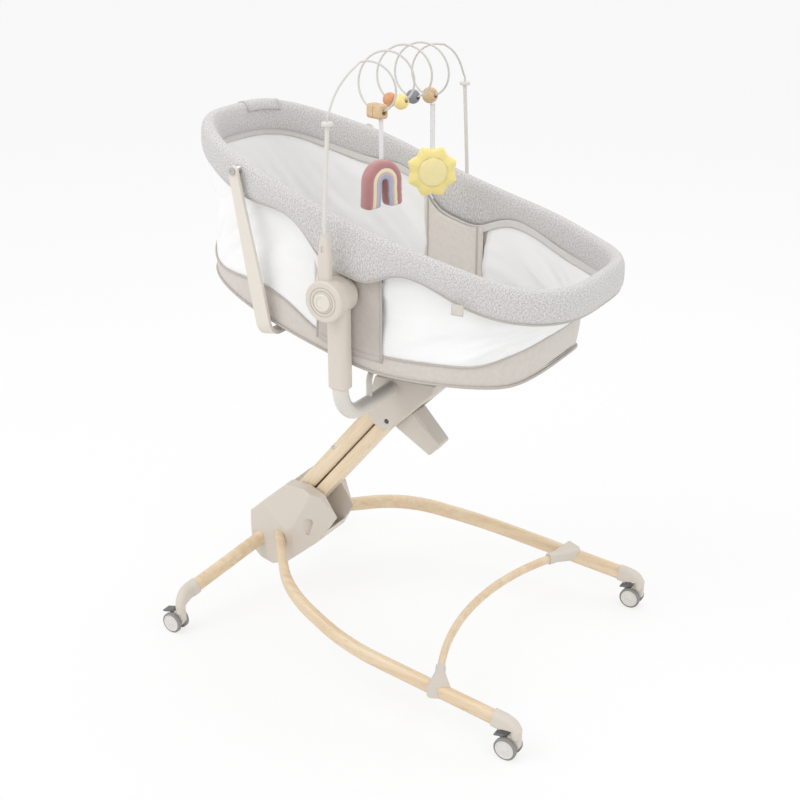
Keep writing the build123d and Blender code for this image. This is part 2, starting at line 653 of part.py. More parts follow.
def joint_housing():
    """The near side joint: a sleeve over the tube, a stepped round housing and the arch socket's neck."""
    base = Plane(origin=(YOKE_X, -YOKE_Y, SLEEVE_BOTTOM))
    sleeve = base * RectangleRounded(SLEEVE_WIDTH, SLEEVE_DEPTH, 15.0)
    housing = extrude(sleeve, amount=JOINT_Z - SLEEVE_BOTTOM)
    housing = chamfer(housing.faces().sort_by(Axis.Z)[0].edges(), 4.0)
    disc = rod_y(YOKE_X, JOINT_Z, JOINT_RADIUS, -JOINT_FACE_Y, -JOINT_STEP_Y)
    disc = chamfer(disc.edges(), 3.0)
    housing += rod_y(YOKE_X, JOINT_Z, JOINT_NECK_RADIUS, -JOINT_STEP_Y, -JOINT_INNER_Y) + disc
    neck = Plane(origin=(ARCH_X, -ARCH_FOOT_Y, JOINT_Z)) * RectangleRounded(NECK_LENGTH, NECK_DEPTH, 6.0)
    housing += extrude(neck, amount=SOCKET_SEAM - JOINT_Z)
    housing -= rod_z(YOKE_X, -YOKE_Y, YOKE_TUBE_RADIUS + SLIP,
                     SLEEVE_BOTTOM - 1, SLEEVE_BOTTOM + YOKE_INSERT + 1)
    housing -= rod_y(YOKE_X, JOINT_Z, PIVOT_SHAFT_RADIUS + RUNNING,
                     -PIVOT_SHAFT_END_Y - 0.5, -TUB_HALF_WIDTH)
    housing -= rod_y(YOKE_X, JOINT_Z, BUTTON_RADIUS + RUNNING, -JOINT_FACE_Y - 1, -BUTTON_SEAT_Y)
    for radius in (BUTTON_RADIUS + 4.0, BUTTON_RADIUS + 10.0):
        ring = rod_y(YOKE_X, JOINT_Z, radius + 1.2, -JOINT_FACE_Y - 1, -JOINT_FACE_Y + 1.2)
        housing -= ring - rod_y(YOKE_X, JOINT_Z, radius, -JOINT_FACE_Y - 1, -JOINT_FACE_Y + 1.2)
    return housing - rod_z(ARCH_X, -ARCH_FOOT_Y, ARCH_ROD_RADIUS + RUNNING,
                           PEG_BOTTOM - SEAT_GAP, SOCKET_SEAM + 1)


def joint_button():
    """The round release button in the housing's outer face, with a ringed dish."""
    inner = -BUTTON_SEAT_Y - BUTTON_TRAVEL
    outer = -JOINT_FACE_Y - BUTTON_PROUD
    button = rod_y(YOKE_X, JOINT_Z, BUTTON_RADIUS, outer, inner)
    button = chamfer(button.faces().sort_by(Axis.Y)[0].edges(), 1.5)
    dish = rod_y(YOKE_X, JOINT_Z, BUTTON_RADIUS - 5.0, outer - 1, outer + 1.2)
    return button - dish


def arch_socket():
    """The tapering upper half of the socket that the arch's peg drops into."""
    low = Plane(origin=(ARCH_X, -ARCH_FOOT_Y, SOCKET_SEAM)) * RectangleRounded(NECK_LENGTH, NECK_DEPTH, 6.0)
    high = Plane(origin=(ARCH_X, -ARCH_FOOT_Y, SOCKET_TOP)) * RectangleRounded(14.0, 12.5, 4.0)
    socket = loft([low, high])
    window = Pos(ARCH_X, -ARCH_FOOT_Y - NECK_DEPTH / 2, SOCKET_SEAM + 15.0) * Box(7.0, 5.0, 12.0)
    socket -= window
    return socket - rod_z(ARCH_X, -ARCH_FOOT_Y, ARCH_ROD_RADIUS + RUNNING, SOCKET_SEAM - 1, SOCKET_TOP + 1)


def tray_rest():
    """The bent tube on the yoke's cross run that lies below the pan."""
    top = REST_TOP - REST_RADIUS
    points = [(YOKE_X, -REST_Y, YOKE_LOW_Z + 9.0), (YOKE_X, -REST_Y, top), (YOKE_X, REST_Y, top),
              (YOKE_X, REST_Y, YOKE_LOW_Z + 9.0)]
    path = FilletPolyline(*points, radius=24.0)
    tube = sweep(Plane(origin=path @ 0, z_dir=path % 0) * Circle(REST_RADIUS), path=path)
    return tube - rod_y(YOKE_X, YOKE_LOW_Z, YOKE_TUBE_RADIUS, -REST_Y - 20, REST_Y + 20)


def yoke():
    add("yoke_tube", yoke_tube())
    near_and_far("joint_housing", joint_housing())
    near_and_far("joint_button", joint_button())
    near_and_far("arch_socket", arch_socket())
    add("tray_rest", tray_rest())


# Tub


def half_oval(middle, length, half, power, z):
    """Half of a superellipse, from the near middle station round the end to the far one."""
    points = []
    for step in range(-OVAL_STEPS, OVAL_STEPS + 1):
        angle = math.pi / 2 * step / OVAL_STEPS
        out = length * math.cos(angle) ** (2 / power) if abs(step) < OVAL_STEPS else 0.0
        across = math.copysign(half * abs(math.sin(angle)) ** (2 / power), step)
        points.append((middle + out, across, z))
    side = math.copysign(1.0, length)
    return Spline(*points, tangents=[(side, 0, 0), (-side, 0, 0)])


def oval(middle, head, foot, half, head_power, foot_power, z):
    """A plan outline made of a head half and a foot half."""
    return make_face([half_oval(middle, foot, half, foot_power, z),
                      half_oval(middle, -head, half, head_power, z)])


def tub_form(inset):
    """The tub's leaning outer form, drawn in by an inset."""
    low = oval(TUB_MIDDLE_X, LOW_HEAD - inset, LOW_FOOT - inset, TUB_HALF_WIDTH - inset,
               TUB_HEAD_POWER, TUB_FOOT_POWER, LOW_PLANE_Z)
    high = oval(TUB_MIDDLE_X, HIGH_HEAD - inset, HIGH_FOOT - inset, TUB_HALF_WIDTH - inset,
                TUB_HEAD_POWER, TUB_FOOT_POWER, HIGH_PLANE_Z)
    return loft([low, high])


def shifted(points, rise):
    return [(x, 0, z + rise) for x, z in points]


def floor_edge(rise):
    return FilletPolyline(*shifted(FLOOR_LINE, rise), radius=[FLOOR_BEND_RADIUS, FLOOR_FOOT_RADIUS])


def band(lower, upper):
    """The space across the tub between two side-view lines."""
    outline = [lower, Line(lower @ 1, upper @ 1), upper, Line(upper @ 0, lower @ 0)]
    return extrude(make_face(outline), amount=300.0, both=True, dir=(0, 1, 0))


def rim_under_line(drop):
    """The pad's lower edge, with its flap over the side joint."""
    head = [(x, 0, z - RIM_HEIGHT / 2 - drop) for x, z in RIM_LINE if x < FLAP_HEAD_X]
    foot = [(x, 0, z - RIM_HEIGHT / 2 - drop) for x, z in RIM_LINE if x > FLAP_FOOT_X]
    flap = [(x, 0, z - drop) for x, z in FLAP_LINE]
    return Spline(*head, *flap, *foot)


def rim_top_line():
    return Spline(*shifted(RIM_LINE, RIM_HEIGHT / 2))


def rim_pad():
    """The padded rim: an oval ring that follows the tub's bent rim line."""
    outer = oval(RIM_MIDDLE_X, RIM_HEAD, RIM_FOOT, RIM_HALF_WIDTH, RIM_HEAD_POWER, RIM_FOOT_POWER, 700.0)
    inner = oval(RIM_MIDDLE_X, RIM_HEAD - RIM_THICK, RIM_FOOT - RIM_THICK, RIM_HALF_WIDTH - RIM_THICK,
                 RIM_HEAD_POWER, RIM_FOOT_POWER, 700.0)
    ring = extrude(outer, amount=500.0) - extrude(inner, amount=500.0)
    pad = ring & band(rim_under_line(0.0), rim_top_line())
    pad = fillet(pad.edges().filter_by(lambda edge: edge.length > RIM_HALF_WIDTH), RIM_ROUND)
    for side in (-1, 1):
        low, high = sorted((side * (BOSS_INNER_Y - SEAT_GAP), side * 260.0))
        pad -= rod_y(BOW_PIVOT_X, BOW_PIVOT_Z, BOSS_RADIUS + SEAT_GAP, low, high)
    return pad


def panel_outline(grow):
    """The fabric panel's outline over the side joint."""
    head = PANEL_LOW_X - grow
    foot = PANEL_HIGH_X + grow
    outline = [(head - PANEL_FLARE, PANEL_LOW_Z), (head, PANEL_KNEE_Z), (head + PANEL_DRAW, PANEL_TOP_Z),
               (foot, PANEL_TOP_Z), (foot, PANEL_LOW_Z)]
    return prism_y(outline, -JOINT_FACE_Y, JOINT_FACE_Y)


def tub_shell(thick):
    return tub_form(0.0) - tub_form(thick)


def shaft_hole():
    return rod_y(YOKE_X, JOINT_Z, PIVOT_SHAFT_RADIUS + SEAT_GAP, -300.0, 300.0)


def skirt_line(rise):
    return Spline(*shifted(SKIRT_LINE, rise))


def skirt():
    """The fabric band round the pan, with a panel up each side to the rim."""
    low_part = band(floor_edge(0.0), skirt_line(0.0))
    panels = panel_outline(0.0) & band(skirt_line(-20.0), rim_under_line(SEAT_GAP))
    return (tub_shell(SKIRT_THICK) & (low_part + panels)) - shaft_hole()


def mesh_walls():
    """The two mesh walls between skirt and rim, head half and foot half."""
    walls = tub_shell(WALL_THICK) & band(skirt_line(SEAT_GAP), rim_under_line(SEAT_GAP))
    walls -= panel_outline(SEAT_GAP)
    return walls.solids().sort_by(Axis.X)


def base_pan():
    return tub_form(SKIRT_THICK + SEAT_GAP) & band(floor_edge(0.0), floor_edge(PAN_THICK))


def mattress():
    """The mattress, with plump rounded edges."""
    low = PAN_THICK + SEAT_GAP
    pad = tub_form(MATTRESS_INSET) & band(floor_edge(low), floor_edge(low + MATTRESS_THICK))
    return fillet(pad.edges().filter_by(lambda edge: edge.length > TUB_HALF_WIDTH), MATTRESS_ROUND)


def upright():
    """The flange inside the near panel, from the pan up to the joint, with the pivot shaft."""
    outer = -(TUB_HALF_WIDTH - SKIRT_THICK - SEAT_GAP)
    inner = outer + UPRIGHT_THICK
    plate = prism_y([(-22.0, 640.0), (74.0, 640.0), (58.0, JOINT_Z), (-6.0, JOINT_Z)], outer, inner)
    plate += rod_y(YOKE_X, JOINT_Z, 32.0, outer, inner)
    plate += rod_y(YOKE_X, JOINT_Z, PIVOT_SHAFT_RADIUS, -PIVOT_SHAFT_END_Y, inner)
    for hole in (690.0, 725.0, 760.0):
        plate -= rod_y(YOKE_X, hole, 9.0, -230.0, -150.0)
    return plate - band(floor_edge(-60.0), floor_edge(PAN_THICK + SEAT_GAP))


def tub_rails():
    """Two dark runners under the pan, closing the wedge below the raised head half."""
    rails = []
    for side in (-1, 1):
        low, high = sorted((side * RAIL_INNER_Y, side * (RAIL_INNER_Y + RAIL_WIDTH)))
        rail = prism_y([(-100.0, RAIL_BOTTOM), (46.0, RAIL_BOTTOM), (70.0, 663.0), (70.0, 720.0),
                        (-100.0, 720.0)], low, high)
        rails.append(rail - band(floor_edge(-SEAT_GAP), floor_edge(90.0)))
    return Compound(rails)


def bow_plane():
    down = unit((BOW_PIVOT_X, 0, BOW_PIVOT_Z), (BOW_LOW_X, 0, BOW_LOW_Z))
    return down, down.cross(Vector(0, 1, 0))


def carrying_bow():
    """The flat strip that hangs from the rim and passes under the pan, wider towards the bottom."""
    down, square = bow_plane()
    top = Vector(BOW_PIVOT_X, 0, BOW_PIVOT_Z) - down * (BOW_TOP_WIDTH / 2 + 4.0)
    low = Vector(BOW_LOW_X, 0, BOW_LOW_Z)
    points = [top + Vector(0, -BOW_TOP_Y, 0), low + Vector(0, -BOW_LOW_Y, 0), low + Vector(0, BOW_LOW_Y, 0),
              top + Vector(0, BOW_TOP_Y, 0)]
    path = FilletPolyline(*points, radius=BOW_BEND)
    section = Plane(origin=path @ 0, x_dir=square, z_dir=path % 0) * Rectangle(2 * BOW_LOW_WIDTH, BOW_THICK)
    strip = sweep(section, path=path)
    side = Plane(origin=(BOW_PIVOT_X, 0, BOW_PIVOT_Z), x_dir=down, z_dir=(0, -1, 0))
    half_top = BOW_TOP_WIDTH / 2
    half_low = BOW_LOW_WIDTH / 2
    taper = make_face(side * Polyline((0, -half_top), (230, -half_low), (400, -half_low), (400, half_low),
                      (230, half_low), (0, half_top), close=True)) + side * Circle(half_top)
    strip &= extrude(taper, amount=300.0, both=True)
    return strip - rod_y(BOW_PIVOT_X, BOW_PIVOT_Z, BOW_SHAFT_RADIUS + RUNNING, -300.0, 300.0)


def bow_pivots():
    """The boss on each side of the rim, with the shouldered screw that the bow turns on."""
    boss_end = bow_leg_y() - BOW_THICK / 2 - BOW_SIDE_GAP
    head_start = bow_leg_y() + BOW_THICK / 2 + BOW_SIDE_GAP
    boss = rod_y(BOW_PIVOT_X, BOW_PIVOT_Z, BOSS_RADIUS, -boss_end, -BOSS_INNER_Y)
    shaft = rod_y(BOW_PIVOT_X, BOW_PIVOT_Z, BOW_SHAFT_RADIUS, -head_start, -boss_end)
    head = rod_y(BOW_PIVOT_X, BOW_PIVOT_Z, BOSS_RADIUS - 0.5, -head_start - 2.0, -head_start)
    head -= rod_y(BOW_PIVOT_X, BOW_PIVOT_Z, 2.2, -head_start - 3.0, -head_start - 0.8)
    return pair(boss + shaft + head)


def bow_leg_y():
    """How far out the strip's middle lies at the pivot's height."""
    share = (BOW_TOP_WIDTH / 2 + 4.0) / ((BOW_PIVOT_Z - BOW_LOW_Z) + BOW_TOP_WIDTH / 2 + 4.0)
    return BOW_TOP_Y - (BOW_TOP_Y - BOW_LOW_Y) * share


def tub():
    add("rim_pad", rim_pad())
    head_wall, foot_wall = mesh_walls()
    add("mesh_wall_head", head_wall)
    add("mesh_wall_foot", foot_wall)
    add("skirt_band", skirt())
    add("base_pan", base_pan())
    add("mattress", mattress())
    add("tub_uprights", pair(upright()))
    add("tub_rails", tub_rails())
    add("carrying_bow", carrying_bow())
    add("bow_pivots", bow_pivots())


# Toy arch


def arch_rod():
    """A near rod with its peg and collar."""
    collar_base = COLLAR_Z - COLLAR_THICK / 2
    points = [(ARCH_X, -ARCH_FOOT_Y, PEG_BOTTOM), (ARCH_X, -ARCH_FOOT_Y, ARCH_PEG_TOP),
              (ARCH_X, -ARCH_TOP_Y, collar_base + 1.0)]
    path = FilletPolyline(*points, radius=70.0)
    rod = sweep(Plane(origin=path @ 0, z_dir=path % 0) * Circle(ARCH_ROD_RADIUS), path=path)
    rod &= Pos(ARCH_X, -ARCH_TOP_Y, collar_base - 500.0 + 1.5) * Box(200.0, 200.0, 1000.0)
    collar = rod_z(ARCH_X, -ARCH_TOP_Y, COLLAR_RADIUS, collar_base, collar_base + COLLAR_THICK)
    return rod + fillet(collar.edges(), 2.0)


def coil_point(turn):
    """The wire's centre on the coil, where turn runs from minus half the turns to plus half."""
    angle = 2 * math.pi * turn
    return Vector(COIL_X + COIL_RADIUS * math.sin(angle), COIL_PITCH * turn,
                  COIL_Z - COIL_SAG * turn ** 2 + COIL_RADIUS * math.cos(angle))


def coil_tangent(turn):
    angle = 2 * math.pi * turn
    return Vector(2 * math.pi * COIL_RADIUS * math.cos(angle), COIL_PITCH,
                  -2 * COIL_SAG * turn - 2 * math.pi * COIL_RADIUS * math.sin(angle)).normalized()


def biarc(start, start_way, end, end_way):
    """Two arcs that leave start and reach end along the given directions."""
    chord = end - start
    both = start_way + end_way
    a = 2 * start_way.dot(end_way) - 2
    b = -2 * chord.dot(both)
    c = chord.dot(chord)
    reach = (-b - math.sqrt(b * b - 4 * a * c)) / (2 * a)
    first = start + start_way * reach
    last = end - end_way * reach
    join = (first + last) * 0.5
    way = (last - first).normalized()
    return [Edge.make_tangent_arc(start, start_way, join), Edge.make_tangent_arc(join, way, end)]


def side_stations(side):
    """The wire's points and directions from a collar up towards the coil, at the given side."""
    stations = []
    for out, height, slope, lean in WIRE_STATIONS:
        way = Vector(0, -side * math.cos(math.radians(slope)), math.sin(math.radians(slope)))
        stations.append((Vector(ARCH_X + lean, side * out, height), way))
    return stations


def wire_stations():
    near = side_stations(-1)
    far = [(point, way * -1) for point, way in reversed(side_stations(1))]
    half = COIL_TURNS / 2
    coil = []
    for quarter in range(COIL_TURNS * 4 + 1):
        turn = quarter / 4 - half
        coil.append((coil_point(turn), coil_tangent(turn)))
    return near + coil + far


def arch_wire():
    """The coated wire over the tub, with its coil of four open turns."""
    stations = wire_stations()
    foot = Vector(ARCH_X, -ARCH_TOP_Y, COLLAR_Z + COLLAR_THICK / 2)
    edges = [Edge.make_line(foot, stations[0][0])]
    for (start, start_way), (end, end_way) in zip(stations, stations[1:]):
        edges += biarc(start, start_way, end, end_way)
    edges.append(Edge.make_line(stations[-1][0], far_point(foot)))
    path = Wire(edges)
    print("least gap of the wire to itself", round(least_gap(edges), 2), "mm")
    print("length of the wire", round(path.length, 1), "mm")
    return sweep(Plane(origin=foot, z_dir=(0, 0, 1)) * Circle(WIRE_RADIUS), path=path)


def far_point(point):
    return Vector(point.X, -point.Y, point.Z)


def least_gap(edges):
    """The least clear space between stretches of the wire that aren't neighbours."""
    points = [edge.position_at(share / 3) for edge in edges for share in range(3)]
    apart = [(a - b).length for i, a in enumerate(points) for b in points[i + 9:]]
    return min(apart) - 2 * WIRE_RADIUS


def bead_plane(turn):
    """A frame at the bottom of a turn, with Z along the wire."""
    return Plane(origin=coil_point(turn), x_dir=(0, 0, 1), z_dir=coil_tangent(turn))


def bead(turn, radius):
    """A ball on the wire, with a bore wide enough for the bend."""
    plane = bead_plane(turn)
    ball = plane * Sphere(radius)
    return ball - plane * Cylinder(BEAD_BORE, 3 * radius)


def wood_block():
    """The wooden block on the first turn, made of two halves."""
    plane = bead_plane(BLOCK_TURN)
    block = Box(BLOCK_HEIGHT, BLOCK_DEPTH, BLOCK_LENGTH)
    block = fillet(block.edges(), 5.0)
    block -= Box(BLOCK_HEIGHT + 1, BLOCK_DEPTH + 1, 1.0) - Box(BLOCK_HEIGHT - 2, BLOCK_DEPTH - 2, 1.0)
    block -= Cylinder(BLOCK_BORE, 2 * BLOCK_LENGTH)
    return plane * block


def tape(x, y, low, high, turn):
    """A flat tape from a wooden piece down to its toy, with a rolled hem at the top that it swings on."""
    plane = Plane(origin=(x, y, low)).rotated((0, 0, turn))
    strip = extrude(plane * Rectangle(TAPE_THICK, TAPE_WIDTH), amount=high - TAPE_ROLL - low)
    across = tape_width_way(turn)
    start = Vector(x, y, high - TAPE_ROLL) - across * (TAPE_WIDTH / 2)
    return strip + extrude(Plane(origin=start, z_dir=across) * Circle(TAPE_ROLL), amount=TAPE_WIDTH)


def tape_width_way(turn):
    """The level direction across a tape."""
    return Vector(-math.sin(math.radians(turn)), math.cos(math.radians(turn)), 0)


def rainbow():
    """A stuffed arch with two legs, hung by its crown."""
    centre_z = RAINBOW_TOP - RAINBOW_RADIUS
    leg_end = RAINBOW_TOP - RAINBOW_HEIGHT
    leg_width = RAINBOW_RADIUS - RAINBOW_INNER
    plane = Plane(origin=(0, 0, centre_z), x_dir=(0, 1, 0), z_dir=(1, 0, 0))
    drop = centre_z - leg_end
    face = Circle(RAINBOW_RADIUS) + Pos(0, -drop / 2) * Rectangle(2 * RAINBOW_RADIUS, drop)
    face -= Circle(RAINBOW_INNER)
    face -= Pos(0, -drop / 2 - 1) * Rectangle(2 * RAINBOW_INNER, drop + 2)
    solid = extrude(plane * face, amount=RAINBOW_THICK / 2, both=True)
    ends = solid.edges().filter_by(Axis.X).filter_by(lambda edge: edge.center().Z < leg_end + 1)
    solid = fillet(ends, leg_width * 0.36)
    solid = fillet(solid.faces().filter_by(Axis.X).edges(), 8.5)
    place = Pos(RAINBOW_X, RAINBOW_Y, 0) * Rot(0, 0, RAINBOW_TURN)
    return place * solid


def sun():
    """A stuffed eight-pointed star with a round middle."""
    points = []
    for step in range(16):
        angle = math.pi * step / 8
        reach = SUN_VALLEY if step % 2 == 0 else SUN_RADIUS
        points.append((reach * math.sin(angle), reach * math.cos(angle)))
    plane = Plane(origin=(0, 0, SUN_CENTRE_Z), x_dir=(0, 1, 0), z_dir=(1, 0, 0))
    star = make_face(Polyline(*points, close=True))
    core = SUN_THICK / 2 - 9.0
    solid = extrude(plane * star, amount=core, both=True)
    middle = Cylinder(26.0, SUN_THICK + 4.0)
    middle = fillet(middle.edges(), 4.0)
    solid += plane * middle
    for side in (-1, 1):
        outer = plane * Pos(0, 0, side * core) * star
        inner = plane * Pos(0, 0, side * SUN_THICK / 2) * scale(star, 0.72)
        solid += loft([outer, inner])
    return Pos(SUN_X, SUN_Y, 0) * Rot(0, 0, SUN_TURN) * solid


def toy_arch():
    near_and_far("arch_rod", arch_rod())
    add("arch_wire", arch_wire())
    apart = (ORANGE_RADIUS + YELLOW_RADIUS + SEAT_GAP) / (4 * math.pi * COIL_RADIUS)
    add("orange_ball", bead(PAIR_TURN + apart, ORANGE_RADIUS))
    add("yellow_ball", bead(PAIR_TURN - apart, YELLOW_RADIUS))
    add("grey_ball", bead(GREY_TURN, GREY_RADIUS))
    add("wood_block", wood_block())
    add("wood_bead", bead(BEAD_TURN, ROUND_BEAD_RADIUS))
    block_low = coil_point(BLOCK_TURN).Z - BLOCK_HEIGHT / 2 - TAPE_GAP
    bead_low = coil_point(BEAD_TURN).Z - ROUND_BEAD_RADIUS - TAPE_GAP
    add("rainbow_tape", tape(RAINBOW_X, RAINBOW_Y, RAINBOW_TOP + SEAT_GAP, block_low, RAINBOW_TURN))
    add("rainbow", rainbow())
    add("sun_tape", tape(SUN_X, SUN_Y, SUN_CENTRE_Z + SUN_VALLEY + 2 * TAPE_GAP, bead_low, SUN_TURN))
    add("sun", sun())


def write_parts():
    os.makedirs("parts", exist_ok=True)
    for name, shape in PARTS.items():
        export_step(Pos(-FRAME_X, 0, 0) * shape, "parts/" + name + ".step")


stand()
column()
castors()
yoke()
tub()
toy_arch()
write_parts()
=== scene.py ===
import bpy
import math
import bmesh
import numpy as np
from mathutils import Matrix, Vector, noise


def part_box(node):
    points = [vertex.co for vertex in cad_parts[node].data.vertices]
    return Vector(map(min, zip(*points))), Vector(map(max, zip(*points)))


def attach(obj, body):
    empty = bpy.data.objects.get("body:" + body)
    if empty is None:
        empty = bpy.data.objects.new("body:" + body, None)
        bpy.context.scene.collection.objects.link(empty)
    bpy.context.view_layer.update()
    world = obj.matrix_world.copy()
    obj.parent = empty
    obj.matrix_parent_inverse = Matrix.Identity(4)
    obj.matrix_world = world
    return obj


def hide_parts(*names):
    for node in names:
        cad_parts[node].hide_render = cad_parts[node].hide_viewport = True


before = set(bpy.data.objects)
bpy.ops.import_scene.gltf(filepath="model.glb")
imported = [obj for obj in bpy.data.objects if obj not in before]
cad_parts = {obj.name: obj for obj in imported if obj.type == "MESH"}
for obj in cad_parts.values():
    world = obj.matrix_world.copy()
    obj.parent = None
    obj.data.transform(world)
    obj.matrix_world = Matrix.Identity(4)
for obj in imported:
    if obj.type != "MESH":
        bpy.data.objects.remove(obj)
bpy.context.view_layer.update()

# The photograph's view
CAMERA_PLACE = (1.250, -2.113, 1.557)
CAMERA_AZIMUTH = 30.9
CAMERA_ELEVATION = 22.87
CAMERA_LENS = 58.5
CAMERA_SENSOR = 36.0

# Lines and outlines in metres, from a station that lies ROW_SHIFT behind the frame's origin
ROW_SHIFT = Vector((-0.033, 0.0, 0.0))
RIM_MIDDLE = 0.005
RIM_HEAD = 0.396
RIM_FOOT = 0.450
RIM_HALF = 0.236
RIM_THICK = 0.032
RIM_HEIGHT = 0.062
RIM_POWERS = (2.65, 3.4)
RIM_LINE = [(-0.480, 1.010), (-0.400, 1.053), (-0.310, 1.035), (-0.160, 0.987), (0.0, 0.932),
            (0.140, 0.891), (0.268, 0.859), (0.380, 0.832), (0.480, 0.829)]
FLAP_LINE = [(-0.050, 0.915), (-0.014, 0.872), (0.029, 0.852), (0.086, 0.843), (0.110, 0.851),
             (0.140, 0.862)]
FLAP_HEAD = -0.060
FLAP_FOOT = 0.200
TUB_MIDDLE = 0.020
TUB_HALF = 0.209
TUB_POWERS = (3.0, 3.3)
LOW_PLANE = 0.640
LOW_REACH = (0.384, 0.329)
HIGH_PLANE = 1.080
HIGH_REACH = (0.396, 0.582)
FLOOR_LINE = [(-0.420, 0.8019), (-0.200, 0.7368), (-0.040, 0.6905), (0.010, 0.6775), (0.060, 0.6665),
              (0.110, 0.6615), (0.200, 0.661), (0.310, 0.661), (0.345, 0.664), (0.380, 0.684),
              (0.420, 0.714)]
SKIRT_LINE = [(-0.400, 0.880), (-0.345, 0.818), (-0.280, 0.797), (-0.180, 0.793), (-0.100, 0.764),
              (-0.040, 0.726), (0.040, 0.703), (0.120, 0.699), (0.250, 0.703), (0.340, 0.713),
              (0.420, 0.755)]
FOOT_TUCK = 0.030
TUCK_START = 0.240
TUCK_LENGTH = 0.130
TUCK_LIFT = 0.008
PANEL_HEAD = -0.026
PANEL_FOOT = 0.104
NETTING_HEIGHT = 0.820
HEM_DROPS = (0.006, 0.002, -0.002, -0.006, -0.010)
HEM_INSET = 0.0046
TAB_PLACE = Vector((-0.352, 0.116, 0.0))
TAB_LIFT = 0.0012
LABEL_PLACE = Vector((0.276, -0.2375, 0.838))
LABEL_DROP = 0.020
POCKET_HEAD = -0.044
POCKET_LENGTH = 0.140
POCKET_LOW = 0.700
POCKET_OUT = 0.1965
CLOTH_THICK = {"netting": 0.0008, "hem": 0.0014, "tab": 0.0016, "label": 0.0012, "skirt": 0.0025,
               "panel": 0.0024, "pocket": 0.0012, "ribbon": 0.0014}
PIPING_RADIUS = {"rim": 0.0023, "skirt_low": 0.0026, "skirt_top": 0.0020, "panel": 0.0022,
                 "pocket": 0.0020}
WHEEL_TRAIL = 0.016
WHEEL_CENTRE = 0.023
WHEEL_RECESS = 0.0163
CASTORS = {"front_near": (0.454, -0.309), "front_far": (0.454, 0.309),
           "rear_near": (-0.356, -0.293), "rear_far": (-0.356, 0.293)}
COLUMN_SCREW = (-0.130, 0.030, 0.388)
PIVOT_PLUG = (0.013, 0.0425, 0.486)

# Steps round an outline, and the trials and first height that settle a point on the wall
RIM_STEPS = 420
WALL_STEPS = 360
WALL_TRIALS = 14
WALL_GUESS = 0.8

# Lamps: name, place, power and size
LAMPS = [("key", (-1.6, -2.2, 3.2), 38.0, 2.2), ("fill", (2.6, -1.2, 2.2), 17.0, 2.5),
         ("top", (0.2, 1.6, 3.4), 20.0, 2.5)]
LAMP_AIM = Vector((0.0, 0.0, 0.7))


# Helpers for lines and meshes


def smooth_line(points):
    """A natural cubic curve through (x, z) points, as a function of x."""
    xs = np.array([p[0] for p in points])
    zs = np.array([p[1] for p in points])
    n = len(xs)
    h = np.diff(xs)
    system = np.eye(n)
    right = np.zeros(n)
    for i in range(1, n - 1):
        system[i, i - 1:i + 2] = (h[i - 1], 2 * (h[i - 1] + h[i]), h[i])
        right[i] = 6 * ((zs[i + 1] - zs[i]) / h[i] - (zs[i] - zs[i - 1]) / h[i - 1])
    bend = np.linalg.solve(system, right)

    def height(x):
        """The curve's height at x, held level beyond its ends."""
        x = min(max(x, xs[0]), xs[-1])
        i = min(int(np.searchsorted(xs, x, side="right")) - 1, n - 2)
        a = (xs[i + 1] - x) / h[i]
        b = (x - xs[i]) / h[i]
        curve = ((a ** 3 - a) * bend[i] + (b ** 3 - b) * bend[i + 1]) * h[i] ** 2 / 6
        return float(a * zs[i] + b * zs[i + 1] + curve)
    return height


rim_middle_height = smooth_line(RIM_LINE)
floor_height = smooth_line(FLOOR_LINE)
skirt_height = smooth_line(SKIRT_LINE)
rim_under_height = smooth_line(
    [(x, z - RIM_HEIGHT / 2) for x, z in RIM_LINE if x < FLAP_HEAD] + FLAP_LINE
    + [(x, z - RIM_HEIGHT / 2) for x, z in RIM_LINE if x > FLAP_FOOT])


def oval_point(angle, middle, head, foot, half, powers):
    """A point of the plan outline, counted from the foot end towards the far side."""
    c, s = math.cos(angle), math.sin(angle)
    reach, power = (foot, powers[1]) if c >= 0 else (head, powers[0])
    x = middle + math.copysign(reach * abs(c) ** (2 / power), c)
    y = math.copysign(half * abs(s) ** (2 / power), s)
    return Vector((x, y, 0.0))


def even_outline(count, *form):
    """Evenly spaced points round a plan outline, with their outward directions."""
    fine = [oval_point(2 * math.pi * i / 4000, *form) for i in range(4000)]
    run = [0.0]
    for a, b in zip(fine, fine[1:] + fine[:1]):
        run.append(run[-1] + (b - a).length)
    total = run[-1]
    places = [total * i / count for i in range(count)]
    xs = np.interp(places, run, [p.x for p in fine] + [fine[0].x])
    ys = np.interp(places, run, [p.y for p in fine] + [fine[0].y])
    points = [Vector((x, y, 0.0)) for x, y in zip(xs, ys)]
    ways = []
    for i in range(count):
        along = points[(i + 1) % count] - points[i - 1]
        ways.append(Vector((along.y, -along.x, 0.0)).normalized())
    return points, ways, total


def tub_point(angle, z, inset=0.0):
    """A point on the tub's leaning wall at a height."""
    share = (z - LOW_PLANE) / (HIGH_PLANE - LOW_PLANE)
    head, foot = [low + (high - low) * share - inset for low, high in zip(LOW_REACH, HIGH_REACH)]
    point = oval_point(angle, TUB_MIDDLE, head, foot, TUB_HALF - inset, TUB_POWERS)
    point.z = z
    return point


def wall_point(angle, line, inset=0.0, rise=0.0):
    """Where the wall at this angle meets a side-view line."""
    z = WALL_GUESS
    for _ in range(WALL_TRIALS):
        z = 0.5 * z + 0.5 * (line(tub_point(angle, z, inset).x) + rise)
    return tub_point(angle, z, inset)


